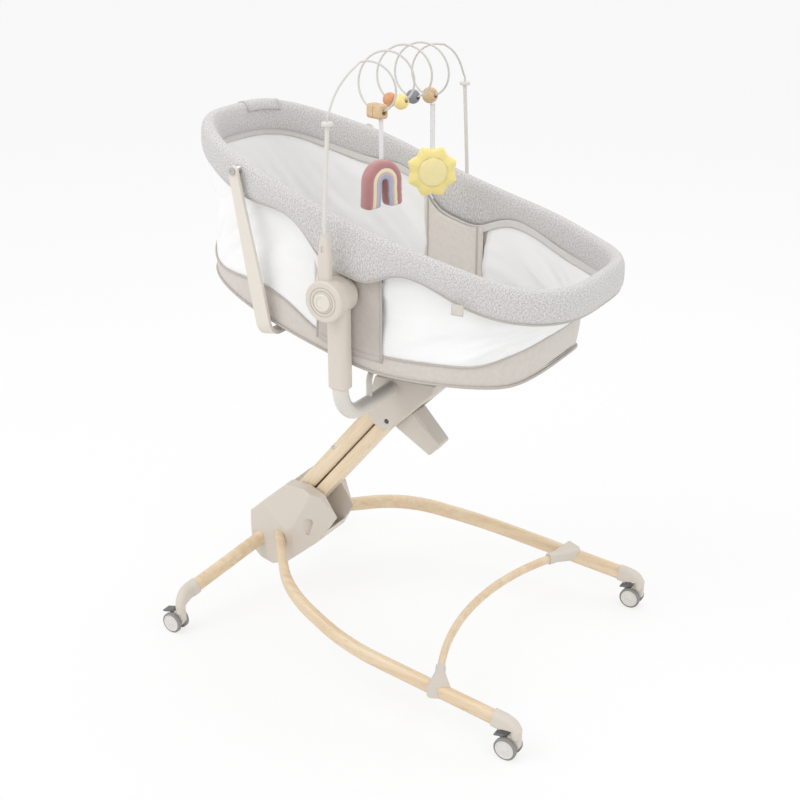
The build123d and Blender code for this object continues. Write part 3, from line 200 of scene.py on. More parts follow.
def tucked(point):
    """The foot end's cloth, drawn in above the base pan."""
    along = min(1.0, max(0.0, (point.x - TUCK_START) / TUCK_LENGTH))
    low, top = floor_height(point.x) + TUCK_LIFT, skirt_height(point.x)
    rise = min(1.0, max(0.0, (point.z - low) / (top - low)))
    fade = 1 - min(1.0, max(0.0, (point.z - top) / (rim_under_height(point.x) - top)))
    drawn = FOOT_TUCK * along * along * (3 - 2 * along) * math.sin(math.pi / 2 * rise) * fade
    return Vector((point.x - drawn, point.y, point.z))


def skirt_point(angle, line, inset=0.0, rise=0.0):
    """Where the drawn-in skirt meets a side-view line."""
    return tucked(wall_point(angle, line, inset, rise))


def new_object(name, mesh):
    """A scene object that holds the mesh."""
    piece = bpy.data.objects.new(name, mesh)
    bpy.context.scene.collection.objects.link(piece)
    return piece


def grid(name, rows, close_rows=False, close_columns=False):
    """A mesh over rows of points, with its UV map in metres along and across."""
    height, width = len(rows), len(rows[0])
    mesh = bpy.data.meshes.new(name)
    build = bmesh.new()
    verts = [[build.verts.new(Vector(p) + ROW_SHIFT) for p in row] for row in rows]
    layer = build.loops.layers.uv.new("UVMap")
    along = [0.0]
    for j in range(1, width + 1):
        along.append(along[-1] + (Vector(rows[0][j % width]) - Vector(rows[0][j - 1])).length)
    middle = width // 2
    across = [0.0]
    for i in range(1, height + 1):
        across.append(across[-1] + (Vector(rows[i % height][middle]) - Vector(rows[i - 1][middle])).length)
    for i in range(height if close_rows else height - 1):
        for j in range(width if close_columns else width - 1):
            k, m = (i + 1) % height, (j + 1) % width
            face = build.faces.new((verts[i][j], verts[i][m], verts[k][m], verts[k][j]))
            face.smooth = True
            corners = ((along[j], across[i]), (along[j + 1], across[i]),
                       (along[j + 1], across[i + 1]), (along[j], across[i + 1]))
            for loop, uv in zip(face.loops, corners):
                loop[layer].uv = uv
    bmesh.ops.recalc_face_normals(build, faces=build.faces)
    build.to_mesh(mesh)
    build.free()
    return new_object(name, mesh)


def fill_ends(piece, sides):
    """Close a swept piece's open ends."""
    build = bmesh.new()
    build.from_mesh(piece.data)
    edges = [edge for edge in build.edges if edge.is_boundary]
    bmesh.ops.holes_fill(build, edges=edges, sides=sides)
    bmesh.ops.recalc_face_normals(build, faces=build.faces)
    build.to_mesh(piece.data)
    build.free()


def tube(name, points, radius, closed=False, sides=10):
    """A round cord along points."""
    count = len(points)
    rows = []
    for i, point in enumerate(points):
        before = points[i - 1] if i or closed else point
        after = points[(i + 1) % count] if i < count - 1 or closed else point
        way = (after - before).normalized()
        side = way.cross(Vector((0, 0, 1)))
        if side.length < 0.2:
            side = way.cross(Vector((0, 1, 0)))
        side.normalize()
        up = side.cross(way)
        rows.append([point + side * (radius * math.cos(a)) + up * (radius * math.sin(a))
                     for a in [2 * math.pi * j / sides for j in range(sides)]])
    piece = grid(name, rows, close_rows=closed, close_columns=True)
    if not closed:
        fill_ends(piece, sides)
    return piece


def alone(piece):
    """Select one piece and nothing else."""
    bpy.ops.object.select_all(action="DESELECT")
    piece.select_set(True)
    bpy.context.view_layer.objects.active = piece


def apply_all(piece):
    """Apply every modifier of a piece."""
    alone(piece)
    for modifier in list(piece.modifiers):
        bpy.ops.object.modifier_apply(modifier=modifier.name)


def thicken(piece, thick, offset=-1.0):
    """Give a sheet its cloth thickness."""
    modifier = piece.modifiers.new("cloth", "SOLIDIFY")
    modifier.thickness = thick
    modifier.offset = offset
    modifier.use_even_offset = True
    apply_all(piece)


def copy_of_node(name, node):
    """A loose copy of a CAD node's mesh, welded."""
    piece = new_object(name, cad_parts[node].data.copy())
    piece.data.materials.clear()
    build = bmesh.new()
    build.from_mesh(piece.data)
    bmesh.ops.remove_doubles(build, verts=build.verts, dist=0.00002)
    bmesh.ops.recalc_face_normals(build, faces=build.faces)
    build.to_mesh(piece.data)
    build.free()
    return piece


# Materials


def material(name):
    """A new node material with its shader."""
    made = bpy.data.materials.new(name)
    made.use_nodes = True
    return made, made.node_tree.nodes, made.node_tree.links, made.node_tree.nodes["Principled BSDF"]


def new_group(name, inputs, outputs):
    """A shader node group with its sockets, and its two end nodes."""
    group = bpy.data.node_groups.new(name, "ShaderNodeTree")
    for label, kind, value in inputs:
        socket = group.interface.new_socket(label, in_out="INPUT", socket_type=kind)
        if value is not None:
            socket.default_value = value
    for label, kind in outputs:
        group.interface.new_socket(label, in_out="OUTPUT", socket_type=kind)
    nodes, links = group.nodes, group.links
    return group, nodes, links, nodes.new("NodeGroupInput"), nodes.new("NodeGroupOutput")


def math_node(nodes, links, operation, a, b=None):
    """One arithmetic node on two sockets or numbers; returns its output."""
    node = nodes.new("ShaderNodeMath")
    node.operation = operation
    for socket, value in zip(node.inputs, (a, b)):
        if value is None:
            continue
        if isinstance(value, (int, float)):
            socket.default_value = value
        else:
            links.new(value, socket)
    return node.outputs[0]


def make_grain_group():
    """Even fine grain with a slow drift of tone: outputs a shade around one and a height."""
    group, nodes, links, start, end = new_group(
        "Fine grain", [("Vector", "NodeSocketVector", None), ("Grain Scale", "NodeSocketFloat", 900.0),
                       ("Drift Scale", "NodeSocketFloat", 9.0), ("Drift", "NodeSocketFloat", 0.06)],
        [("Shade", "NodeSocketFloat"), ("Height", "NodeSocketFloat")])
    fine = nodes.new("ShaderNodeTexNoise")
    slow = nodes.new("ShaderNodeTexNoise")
    fine.inputs["Detail"].default_value = 3.0
    slow.inputs["Detail"].default_value = 4.0
    for node, scale in ((fine, "Grain Scale"), (slow, "Drift Scale")):
        links.new(start.outputs["Vector"], node.inputs["Vector"])
        links.new(start.outputs[scale], node.inputs["Scale"])
    centred = math_node(nodes, links, "SUBTRACT", slow.outputs["Fac"], 0.5)
    drift = math_node(nodes, links, "MULTIPLY", centred, start.outputs["Drift"])
    links.new(math_node(nodes, links, "ADD", drift, 1.0), end.inputs["Shade"])
    links.new(fine.outputs["Fac"], end.inputs["Height"])
    return group


def make_weave_group():
    """A plain weave on the UV map in metres: outputs a height and a thread mask."""
    group, nodes, links, start, end = new_group(
        "Plain weave", [("Vector", "NodeSocketVector", None), ("Threads", "NodeSocketFloat", 900.0),
                        ("Slub", "NodeSocketFloat", 0.25)],
        [("Height", "NodeSocketFloat"), ("Thread", "NodeSocketFloat")])
    split = nodes.new("ShaderNodeSeparateXYZ")
    links.new(start.outputs["Vector"], split.inputs[0])
    waves = []
    for axis in range(2):
        turned = math_node(nodes, links, "MULTIPLY", split.outputs[axis], start.outputs["Threads"])
        waves.append(math_node(nodes, links, "SINE", math_node(nodes, links, "MULTIPLY", turned, math.pi)))
    cross = math_node(nodes, links, "MULTIPLY", waves[0], waves[1])
    slub = nodes.new("ShaderNodeTexNoise")
    slub.inputs["Scale"].default_value = 260.0
    slub.inputs["Detail"].default_value = 4.0
    links.new(start.outputs["Vector"], slub.inputs["Vector"])
    rough = math_node(nodes, links, "MULTIPLY", slub.outputs["Fac"], start.outputs["Slub"])
    raised = math_node(nodes, links, "ABSOLUTE", cross)
    links.new(math_node(nodes, links, "ADD", raised, rough), end.inputs["Height"])
    links.new(math_node(nodes, links, "GREATER_THAN", cross, 0.0), end.inputs["Thread"])
    return group


def make_wood_group():
    """Long straight grain along X: outputs a tone, a pore mask and a height."""
    group, nodes, links, start, end = new_group(
        "Long grain", [("Vector", "NodeSocketVector", None), ("Ring Scale", "NodeSocketFloat", 60.0)],
        [("Tone", "NodeSocketFloat"), ("Pore", "NodeSocketFloat"), ("Height", "NodeSocketFloat")])
    stretch = nodes.new("ShaderNodeMapping")
    stretch.inputs["Scale"].default_value = (0.045, 1.0, 1.0)
    links.new(start.outputs["Vector"], stretch.inputs["Vector"])
    rings = nodes.new("ShaderNodeTexNoise")
    rings.inputs["Detail"].default_value = 6.0
    rings.inputs["Distortion"].default_value = 0.6
    links.new(stretch.outputs[0], rings.inputs["Vector"])
    links.new(start.outputs["Ring Scale"], rings.inputs["Scale"])
    pores = nodes.new("ShaderNodeTexNoise")
    pores.inputs["Scale"].default_value = 620.0
    pores.inputs["Detail"].default_value = 2.0
    links.new(stretch.outputs[0], pores.inputs["Vector"])
    steep = nodes.new("ShaderNodeMapRange")
    steep.inputs["From Min"].default_value = 0.58
    steep.inputs["From Max"].default_value = 0.74
    links.new(pores.outputs["Fac"], steep.inputs["Value"])
    links.new(rings.outputs["Fac"], end.inputs["Tone"])
    links.new(steep.outputs[0], end.inputs["Pore"])
    links.new(math_node(nodes, links, "MULTIPLY", steep.outputs[0], -1.0), end.inputs["Height"])
    return group


GRAIN = make_grain_group()
WEAVE = make_weave_group()
WOOD = make_wood_group()


def use_group(nodes, group, **values):
    """A node that uses a group, with its socket values."""
    node = nodes.new("ShaderNodeGroup")
    node.node_tree = group
    for label, value in values.items():
        node.inputs[label.replace("_", " ")].default_value = value
    return node


def tinted(nodes, links, colour, shade, shader):
    """Multiply a colour by a shade and feed it to the shader."""
    mix = nodes.new("ShaderNodeMix")
    mix.data_type = "RGBA"
    mix.blend_type = "MULTIPLY"
    mix.inputs["Factor"].default_value = 1.0
    mix.inputs[6].default_value = (*colour, 1.0)
    links.new(shade, mix.inputs[7])
    links.new(mix.outputs[2], shader.inputs["Base Color"])


def bump(nodes, links, height, shader, strength, distance):
    """Feed a height to the shader's normal."""
    node = nodes.new("ShaderNodeBump")
    node.inputs["Strength"].default_value = strength
    node.inputs["Distance"].default_value = distance
    links.new(height, node.inputs["Height"])
    links.new(node.outputs["Normal"], shader.inputs["Normal"])


def plastic(name, colour, roughness=0.45, drift=0.05, grain=700.0, strength=0.12):
    """Moulded plastic with a fine matt grain."""
    made, nodes, links, shader = material(name)
    place = nodes.new("ShaderNodeTexCoord")
    group = use_group(nodes, GRAIN, Grain_Scale=grain, Drift=drift)
    links.new(place.outputs["Object"], group.inputs["Vector"])
    tinted(nodes, links, colour, group.outputs["Shade"], shader)
    shader.inputs["Roughness"].default_value = roughness
    bump(nodes, links, group.outputs["Height"], shader, strength, 0.0004)
    return made


def metal(name, colour, roughness=0.3):
    """Bare brushed metal."""
    made = plastic(name, colour, roughness, 0.04, 1400.0, 0.05)
    made.node_tree.nodes["Principled BSDF"].inputs["Metallic"].default_value = 1.0
    return made


def painted(name, colour):
    """Smooth stove paint on tube."""
    made = plastic(name, colour, 0.34, 0.03, 500.0, 0.04)
    made.node_tree.nodes["Principled BSDF"].inputs["Coat Weight"].default_value = 0.25
    return made


def wood(name, light, dark, turn=(0.0, 0.0, 0.0), scale=60.0):
    """Varnished beech with long grain along a turned X axis."""
    made, nodes, links, shader = material(name)
    place = nodes.new("ShaderNodeTexCoord")
    turned = nodes.new("ShaderNodeMapping")
    turned.inputs["Rotation"].default_value = turn
    links.new(place.outputs["Object"], turned.inputs["Vector"])
    group = use_group(nodes, WOOD, Ring_Scale=scale)
    links.new(turned.outputs[0], group.inputs["Vector"])
    ramp = nodes.new("ShaderNodeValToRGB")
    ramp.color_ramp.elements[0].position = 0.3
    ramp.color_ramp.elements[0].color = (*dark, 1.0)
    ramp.color_ramp.elements[1].position = 0.66
    ramp.color_ramp.elements[1].color = (*light, 1.0)
    links.new(group.outputs["Tone"], ramp.inputs["Fac"])
    fleck = nodes.new("ShaderNodeMix")
    fleck.data_type = "RGBA"
    fleck.inputs[7].default_value = (dark[0] * 0.72, dark[1] * 0.66, dark[2] * 0.58, 1.0)
    links.new(math_node(nodes, links, "MULTIPLY", group.outputs["Pore"], 0.55), fleck.inputs["Factor"])
    links.new(ramp.outputs["Color"], fleck.inputs[6])
    links.new(fleck.outputs[2], shader.inputs["Base Color"])
    shader.inputs["Roughness"].default_value = 0.42
    shader.inputs["Coat Weight"].default_value = 0.18
    bump(nodes, links, group.outputs["Height"], shader, 0.2, 0.0003)
    return made


def cloth(name, colour, second=None, threads=1100.0, strength=0.3, mix_scale=420.0, roughness=0.9,
          sheen=0.25):
    """Woven cloth on the piece's UV map, heathered where a second colour is given."""
    made, nodes, links, shader = material(name)
    place = nodes.new("ShaderNodeUVMap")
    place.uv_map = "UVMap"
    weave = use_group(nodes, WEAVE, Threads=threads)
    links.new(place.outputs["UV"], weave.inputs["Vector"])
    fleck = nodes.new("ShaderNodeTexNoise")
    fleck.inputs["Scale"].default_value = mix_scale
    fleck.inputs["Detail"].default_value = 5.0
    fleck.inputs["Roughness"].default_value = 0.7
    links.new(place.outputs["UV"], fleck.inputs["Vector"])
    ramp = nodes.new("ShaderNodeValToRGB")
    ramp.color_ramp.elements[0].position = 0.36
    ramp.color_ramp.elements[0].color = (*(second or [c * 0.93 for c in colour]), 1.0)
    ramp.color_ramp.elements[1].position = 0.60
    ramp.color_ramp.elements[1].color = (*colour, 1.0)
    links.new(fleck.outputs["Fac"], ramp.inputs["Fac"])
    links.new(ramp.outputs["Color"], shader.inputs["Base Color"])
    shader.inputs["Roughness"].default_value = roughness
    shader.inputs["Sheen Weight"].default_value = sheen
    shader.inputs["Sheen Roughness"].default_value = 0.5
    bump(nodes, links, weave.outputs["Height"], shader, strength, 0.0006)
    return made


def netting_cloth(name, colour):
    """Fine white netting that lets a little of the inside through."""
    made, nodes, links, shader = material(name)
    place = nodes.new("ShaderNodeUVMap")
    place.uv_map = "UVMap"
    net = nodes.new("ShaderNodeTexVoronoi")
    net.feature = "DISTANCE_TO_EDGE"
    net.inputs["Scale"].default_value = 900.0
    net.inputs["Randomness"].default_value = 0.15
    links.new(place.outputs["UV"], net.inputs["Vector"])
    hole = nodes.new("ShaderNodeMapRange")
    hole.inputs["From Min"].default_value = 0.10
    hole.inputs["From Max"].default_value = 0.32
    hole.inputs["To Min"].default_value = 1.0
    hole.inputs["To Max"].default_value = 0.84
    links.new(net.outputs["Distance"], hole.inputs["Value"])
    links.new(hole.outputs[0], shader.inputs["Alpha"])
    shader.inputs["Base Color"].default_value = (*colour, 1.0)
    shader.inputs["Roughness"].default_value = 0.85
    shader.inputs["Sheen Weight"].default_value = 0.15
    bump(nodes, links, net.outputs["Distance"], shader, 0.25, 0.0004)
    return made


def plush(name, colour):
    """Short-pile fleece on Object coordinates."""
    made, nodes, links, shader = material(name)
    place = nodes.new("ShaderNodeTexCoord")
    group = use_group(nodes, GRAIN, Grain_Scale=900.0, Drift_Scale=30.0, Drift=0.12)
    links.new(place.outputs["Object"], group.inputs["Vector"])
    tinted(nodes, links, colour, group.outputs["Shade"], shader)
    shader.inputs["Roughness"].default_value = 0.95
    shader.inputs["Sheen Weight"].default_value = 0.5
    shader.inputs["Sheen Roughness"].default_value = 0.6
    bump(nodes, links, group.outputs["Height"], shader, 0.45, 0.0008)
    return made


FINISHES = {
    "greige": plastic("Greige plastic", (0.655, 0.600, 0.532), 0.5),
    "pale": plastic("Pale plastic", (0.730, 0.682, 0.612), 0.48),
    "dark": plastic("Dark plastic", (0.075, 0.072, 0.070), 0.5),
    "tyre": plastic("Tyre rubber", (0.270, 0.265, 0.258), 0.7),
    "pedal": plastic("Pedal plastic", (0.165, 0.168, 0.170), 0.5),
    "disc": plastic("Wheel disc", (0.720, 0.700, 0.665), 0.4),
    "tube": painted("Painted tube", (0.700, 0.665, 0.605)),
    "wire": painted("Coated wire", (0.610, 0.595, 0.560)),
    "rod": plastic("Arch rod plastic", (0.680, 0.655, 0.615), 0.4),
    "steel": metal("Pin steel", (0.600, 0.590, 0.580)),
    "beech": wood("Bent beech", (0.800, 0.650, 0.460), (0.690, 0.520, 0.330)),
    "column": wood("Pale beech", (0.830, 0.695, 0.510), (0.730, 0.570, 0.385),
                   (0.0, math.radians(50.3), 0.0)),
    "toy_wood": wood("Toy wood", (0.700, 0.510, 0.310), (0.560, 0.370, 0.200), (0.0, 0.0, 0.0), 160.0),
    "orange": plastic("Orange paint", (0.690, 0.330, 0.170), 0.4),
    "yellow": plastic("Yellow paint", (0.870, 0.700, 0.290), 0.4),
    "grey": plastic("Grey paint", (0.235, 0.240, 0.260), 0.4),
    "melange": cloth("Melange weave", (0.760, 0.745, 0.738), (0.420, 0.402, 0.396), 1000.0, 0.5, 360.0),
    "taupe": cloth("Taupe cloth", (0.635, 0.592, 0.545), None, 1700.0, 0.2, 90.0, 0.75, 0.3),
    "panel": cloth("Panel cloth", (0.560, 0.515, 0.470), None, 1700.0, 0.2, 90.0, 0.75, 0.3),
    "pocket": cloth("Pocket cloth", (0.700, 0.655, 0.605), None, 1700.0, 0.2, 90.0, 0.75, 0.3),
    "binding": cloth("Binding tape", (0.520, 0.480, 0.435), None, 1500.0, 0.3, 200.0, 0.8, 0.2),
    "hem": cloth("Hem tape", (0.700, 0.680, 0.655), None, 1500.0, 0.3, 200.0, 0.8, 0.2),
    "label": cloth("Bare label", (0.660, 0.610, 0.550), None, 1800.0, 0.2, 120.0, 0.8, 0.2),
    "cotton": cloth("White cotton", (0.900, 0.900, 0.895), None, 1600.0, 0.2, 60.0, 0.9, 0.2),
    "tape": cloth("White tape", (0.860, 0.855, 0.850), None, 1300.0, 0.4, 300.0, 0.85, 0.2),
    "net": netting_cloth("White netting", (0.920, 0.920, 0.920)),
    "sun": plush("Yellow plush", (0.910, 0.775, 0.290)),
    "sun_middle": plush("Pale yellow plush", (0.900, 0.790, 0.400)),
    "rose": plush("Rose plush", (0.450, 0.195, 0.200)),
    "cream": plush("Cream plush", (0.830, 0.730, 0.520)),
    "mauve": plush("Mauve plush", (0.600, 0.460, 0.480)),
    "blue": plush("Blue plush", (0.380, 0.450, 0.600)),
}

NODE_FINISHES = {
    "beech": ["long_leg_near", "long_leg_far", "rear_legs", "cross_bow"],
    "column": ["front_column_bar", "rear_column_bar"],
    "toy_wood": ["wood_block", "wood_bead"],
    "greige": ["hub_cheek_near", "hub_cheek_far", "front_cap_near", "front_cap_far", "rear_cap_near",
               "rear_cap_far", "cross_sockets", "column_bracket", "release_lever", "joint_housing_near",
               "joint_housing_far", "arch_socket_near", "arch_socket_far", "castor_body_front_near",
               "castor_body_front_far", "castor_body_rear_near", "castor_body_rear_far"],
    "pale": ["hub_core", "joint_button_near", "joint_button_far", "carrying_bow"],
    "pedal": ["castor_pedal_front_near", "castor_pedal_front_far", "castor_pedal_rear_near",
              "castor_pedal_rear_far"],
    "dark": ["tub_rails", "base_pan"],
    "tyre": ["castor_wheels_front_near", "castor_wheels_front_far", "castor_wheels_rear_near",
             "castor_wheels_rear_far"],
    "tube": ["yoke_tube", "tray_rest", "tub_uprights"],
    "steel": ["lower_pivot_pins", "upper_pivot_pins", "bow_pivots"],
    "wire": ["arch_wire"],
    "rod": ["arch_rod_near", "arch_rod_far"],
    "orange": ["orange_ball"],
    "yellow": ["yellow_ball"],
    "grey": ["grey_ball"],
}


def finish(piece, name):
    """Give a piece one of the finishes."""
    piece.data.materials.clear()
    piece.data.materials.append(FINISHES[name])


def dress_nodes():
    """Give each carried-over node its finish."""
    for name, nodes in NODE_FINISHES.items():
        for node in nodes:
            finish(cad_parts[node], name)


# Tub


def rim_section(height_above, height_below, thick):
    """The pad's section: (outward, upward) offsets round a plump upright oval."""
    power = 2 / 2.7
    points = []
    for step in range(44):
        angle = 2 * math.pi * step / 44
        c, s = math.cos(angle), math.sin(angle)
        reach = height_above if s >= 0 else height_below
        out = math.copysign(thick / 2 * abs(c) ** power, c)
        points.append((out, math.copysign(reach * abs(s) ** power, s)))
    return points


def pad_outline():
    """The pad's middle line in plan, with its outward directions."""
    inner = RIM_THICK / 2
    form = (RIM_MIDDLE, RIM_HEAD - inner, RIM_FOOT - inner, RIM_HALF - inner, RIM_POWERS)
    return even_outline(RIM_STEPS, *form)[:2]


def rim_pad():
    """The padded rim in heathered weave."""
    points, ways = pad_outline()
    rows = []
    for index, (point, way) in enumerate(zip(points, ways)):
        middle = rim_middle_height(point.x)
        below = middle - rim_under_height(point.x)
        row = []
        for out, up in rim_section(RIM_HEIGHT / 2, below, RIM_THICK):
            soft = noise.noise(Vector((point.x * 9, point.y * 9, up * 30))) * 0.0011
            crease = noise.noise(Vector((index * 0.35, up * 12, 7.0))) * 0.0005
            scale = 1 + (soft + crease) / 0.016
            place = point + way * (out * scale)
            place.z = middle + up * (1 + soft / 0.03)
            row.append(place)
        rows.append(row)
    pad = grid("rim_pad_cover", rows, close_rows=True, close_columns=True)
    finish(pad, "melange")
    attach(pad, "tub")
    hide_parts("rim_pad")


def end_angles(x_edge, z, head):
    """The wall's angle range round the head or foot end, from one side edge to the other."""
    low, high = 0.0, math.pi / 2
    if head:
        low, high = math.pi / 2, math.pi
    for _ in range(40):
        trial = (low + high) / 2
        if tub_point(trial, z).x > x_edge:
            low = trial
        else:
            high = trial
    return (low + high) / 2


def netting(name, node, head):
    """A netting wall round one end of the tub, with slack folds."""
    limit = end_angles(PANEL_HEAD if head else PANEL_FOOT, NETTING_HEIGHT, head)
    columns = 150
    rows = []
    for level in range(27):
        share = level / 26
        row = []
        for column in range(columns + 1):
            turn = column / columns
            angle = limit + (2 * math.pi - 2 * limit) * turn if head else limit * (2 * turn - 1)
            top = wall_point(angle, rim_under_height, 0.001, 0.004)
            low = skirt_point(angle, skirt_height, 0.001, -0.002)
            point = top.lerp(low, share)
            inward = Vector((TUB_MIDDLE - point.x, -point.y * 2, 0)).normalized()
            swell = math.sin(math.pi * share)
            fold = noise.noise(Vector((turn * 11 + share * 3.2, share * 1.3, 3.0 if head else 9.0)))
            ripple = noise.noise(Vector((turn * 34 + share * 9.0, share * 2.0, 5.0)))
            point += inward * (swell * (0.0050 + 0.0066 * fold + 0.0036 * ripple))
            row.append(point)
        rows.append(row)
    wall = grid(name, rows)
    thicken(wall, CLOTH_THICK["netting"], 0.0)
    finish(wall, "net")
    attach(wall, "tub")
    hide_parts(node)


def piping(name, points, radius, closed=False):
    """A bound cord along a seam of the tub."""
    cord = tube(name, points, radius, closed)
    finish(cord, "binding")
    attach(cord, "tub")


def rim_hem():
    """The hem below the pad's inner edge."""
    rows = []
    for drop in HEM_DROPS:
        rows.append([wall_point(2 * math.pi * i / WALL_STEPS, rim_under_height, HEM_INSET, drop)
                     for i in range(WALL_STEPS)])
    hem = grid("rim_hem", rows, close_columns=True)
    thicken(hem, CLOTH_THICK["hem"], 0.0)
    finish(hem, "hem")
    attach(hem, "tub")


def rim_piping_and_shade_line():
    """The piping below the pad's outer edge: a dark cord that is partly a real seam and partly painted shade,
    standing for the shadow line below the pad.
    """
    outline, ways, _ = even_outline(300, RIM_MIDDLE, RIM_HEAD, RIM_FOOT, RIM_HALF, RIM_POWERS)
    points = []
    for place, way in zip(outline, ways):
        point = place - way * 0.0085
        point.z = rim_under_height(place.x) + 0.0016
        points.append(point)
    # Painted shade: this dark binding cord also stands for the shadow line under the pad's outer edge.
    piping("rim_piping_and_shade_line", points, PIPING_RADIUS["rim"], closed=True)


def rim_tab():
    """The closing tab over the pad at the head."""
    middles, ways = pad_outline()
    start = min(range(RIM_STEPS), key=lambda i: (middles[i] - TAB_PLACE).length)
    section = rim_section(RIM_HEIGHT / 2 + TAB_LIFT, RIM_HEIGHT / 2, RIM_THICK + 0.0028)
    rows = []
    for out, up in section[2:21]:
        row = []
        for step in range(7):
            place, way = middles[start + step * 3], ways[start + step * 3]
            point = place + way * out
            point.z = rim_middle_height(place.x) + up
            row.append(point)
        rows.append(row)
    tab = grid("rim_tab", rows)
    thicken(tab, CLOTH_THICK["tab"], 0.0)
    finish(tab, "melange")
    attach(tab, "tub")


def bare_label():
    """The small bare label below the pad."""
    rows = []
    for level in range(5):
        drop = level / 4
        lean = Vector((0.0, -0.0012 * drop ** 2, -LABEL_DROP * drop))
        rows.append([LABEL_PLACE + lean + Vector((across, 0.0, 0.0))
                     for across in (-0.012, -0.007, 0.0, 0.007, 0.012)])
    label = grid("bare_label", rows)
    thicken(label, CLOTH_THICK["label"], 0.0)
    finish(label, "label")
    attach(label, "tub")


def skirt():
    """The cloth band round the pan, with a piping along each edge."""
    columns = 420
    rows = []
    for level in range(13):
        share = level / 12
        row = []
        for column in range(columns):
            angle = 2 * math.pi * column / columns
            low = skirt_point(angle, floor_height, 0.001, 0.001)
            top = skirt_point(angle, skirt_height, 0.001, 0.0)
            point = low.lerp(top, share)
            outward = Vector((point.x - TUB_MIDDLE, point.y * 2, 0)).normalized()
            point += outward * (0.0016 * math.sin(math.pi * share))
            row.append(point)
        rows.append(row)
    band = grid("skirt_cover", rows, close_columns=True)
    thicken(band, CLOTH_THICK["skirt"])
    finish(band, "taupe")
    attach(band, "tub")
    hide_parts("skirt_band")
    for name, line, rise in (("skirt_low", floor_height, 0.002), ("skirt_top", skirt_height, 0.0)):
        points = [skirt_point(2 * math.pi * i / WALL_STEPS, line, -0.0006, rise) for i in range(WALL_STEPS)]
        piping(name.replace("_", "_piping_"), points, PIPING_RADIUS[name], closed=True)


def side_panels():
    """The cloth panel over each side joint, with piped edges."""
    for side, word in ((-1, "near"), (1, "far")):
        rows = []
        for level in range(25):
            share = level / 24
            row = []
            for column in range(21):
                turn = column / 20
                lean_head = PANEL_HEAD - 0.012 * (1 - share)
                x = lean_head + (PANEL_FOOT - lean_head) * turn
                low = skirt_height(x) - 0.012
                high = rim_under_height(x) + 0.004
                z = low + (high - low) * share
                y = side * (TUB_HALF + 0.0008 - 0.002 * math.sin(math.pi * turn) * math.sin(math.pi * share))
                row.append(Vector((x, y, z)))
            rows.append(row)
        panel = grid("side_panel_" + word, rows)
        thicken(panel, CLOTH_THICK["panel"], 0.0)
        finish(panel, "panel")
        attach(panel, "tub")
        for edge, column in (("head", 0), ("foot", -1)):
            points = [row[column] + Vector((0, side * 0.0006, 0)) for row in rows]
            piping("panel_piping_" + edge + "_" + word, points, PIPING_RADIUS["panel"])


def inner_panels():
    """The cloth pockets inside the tub, over the two uprights."""
    for side, word in ((-1, "near"), (1, "far")):
        rows = []
        for level in range(19):
            share = level / 18
            row = []
            for column in range(25):
                turn = column / 24
                x = POCKET_HEAD + POCKET_LENGTH * turn
                low, high = POCKET_LOW, rim_under_height(x) + 0.003
                bow = abs(2 * turn - 1) ** 6
                crease = 0.0008 * noise.noise(Vector((x * 60, share * 3.0, 4.0 * side)))
                y = side * (POCKET_OUT + 0.0080 * bow + crease)
                row.append(Vector((x, y, low + (high - low) * share)))
            rows.append(row)
        panel = grid("inner_panel_" + word, rows)
        thicken(panel, CLOTH_THICK["pocket"], 0.0)
        finish(panel, "pocket")
        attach(panel, "tub")
        for edge, column in (("head", 2), ("foot", -3)):
            points = [row[column] - Vector((0, side * 0.0010, 0)) for row in rows]
            piping("pocket_piping_" + edge + "_" + word, points, PIPING_RADIUS["pocket"])


def mattress():
    """The mattress in its white cotton cover."""
    pad = copy_of_node("mattress_cover", "mattress")
    remesh = pad.modifiers.new("even", "REMESH")
    remesh.mode = "VOXEL"
    remesh.voxel_size = 0.006
    smooth = pad.modifiers.new("round", "SMOOTH")
    smooth.factor = 0.5
    smooth.iterations = 8
    apply_all(pad)
    for vertex in pad.data.vertices:
        place = vertex.co
        slack = noise.noise(Vector((place.x * 11, place.y * 16, 2.0)))
        crease = noise.noise(Vector((place.x * 34 + place.y * 20, place.y * 9, 8.0)))
        vertex.co.z += 0.0012 * slack + 0.0007 * crease
        vertex.co = tucked(vertex.co - ROW_SHIFT) + ROW_SHIFT
    for polygon in pad.data.polygons:
        polygon.use_smooth = True
    plan_uv(pad)
    finish(pad, "cotton")
    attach(pad, "tub")
    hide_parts("mattress")


def plan_uv(piece):
    """A UV map in metres, looking along each face's main direction."""
    mesh = piece.data
    layer = mesh.uv_layers.get("UVMap") or mesh.uv_layers.new(name="UVMap")
    for polygon in mesh.polygons:
        normal = polygon.normal
        main = max(range(3), key=lambda axis: abs(normal[axis]))
        a, b = [(1, 2), (0, 2), (0, 1)][main]
        for loop in polygon.loop_indices:
            place = mesh.vertices[mesh.loops[loop].vertex_index].co
            layer.data[loop].uv = (place[a], place[b])


# Toys

RAINBOW_PLACE = Vector((0.034, -0.093, 0.994))
RAINBOW_TURN = math.radians(-21.0)
RAINBOW_LEG = 0.050
RAINBOW_BAND = 0.02275
SUN_PLACE = Vector((0.032, 0.101, 0.975))
SUN_TURN = math.radians(-52.0)
SUN_VALLEY = 0.0435
SUN_POINT = 0.0522
SUN_MIDDLE = 0.0290
TAPE_HALF = 0.0047
TAPE_LOW = {"rainbow": 1.0335, "sun": 1.0130}


def toy_ways(turn):
    """A hanging toy's facing direction and its level width direction."""
    return Vector((math.cos(turn), math.sin(turn), 0)), Vector((-math.sin(turn), math.cos(turn), 0))


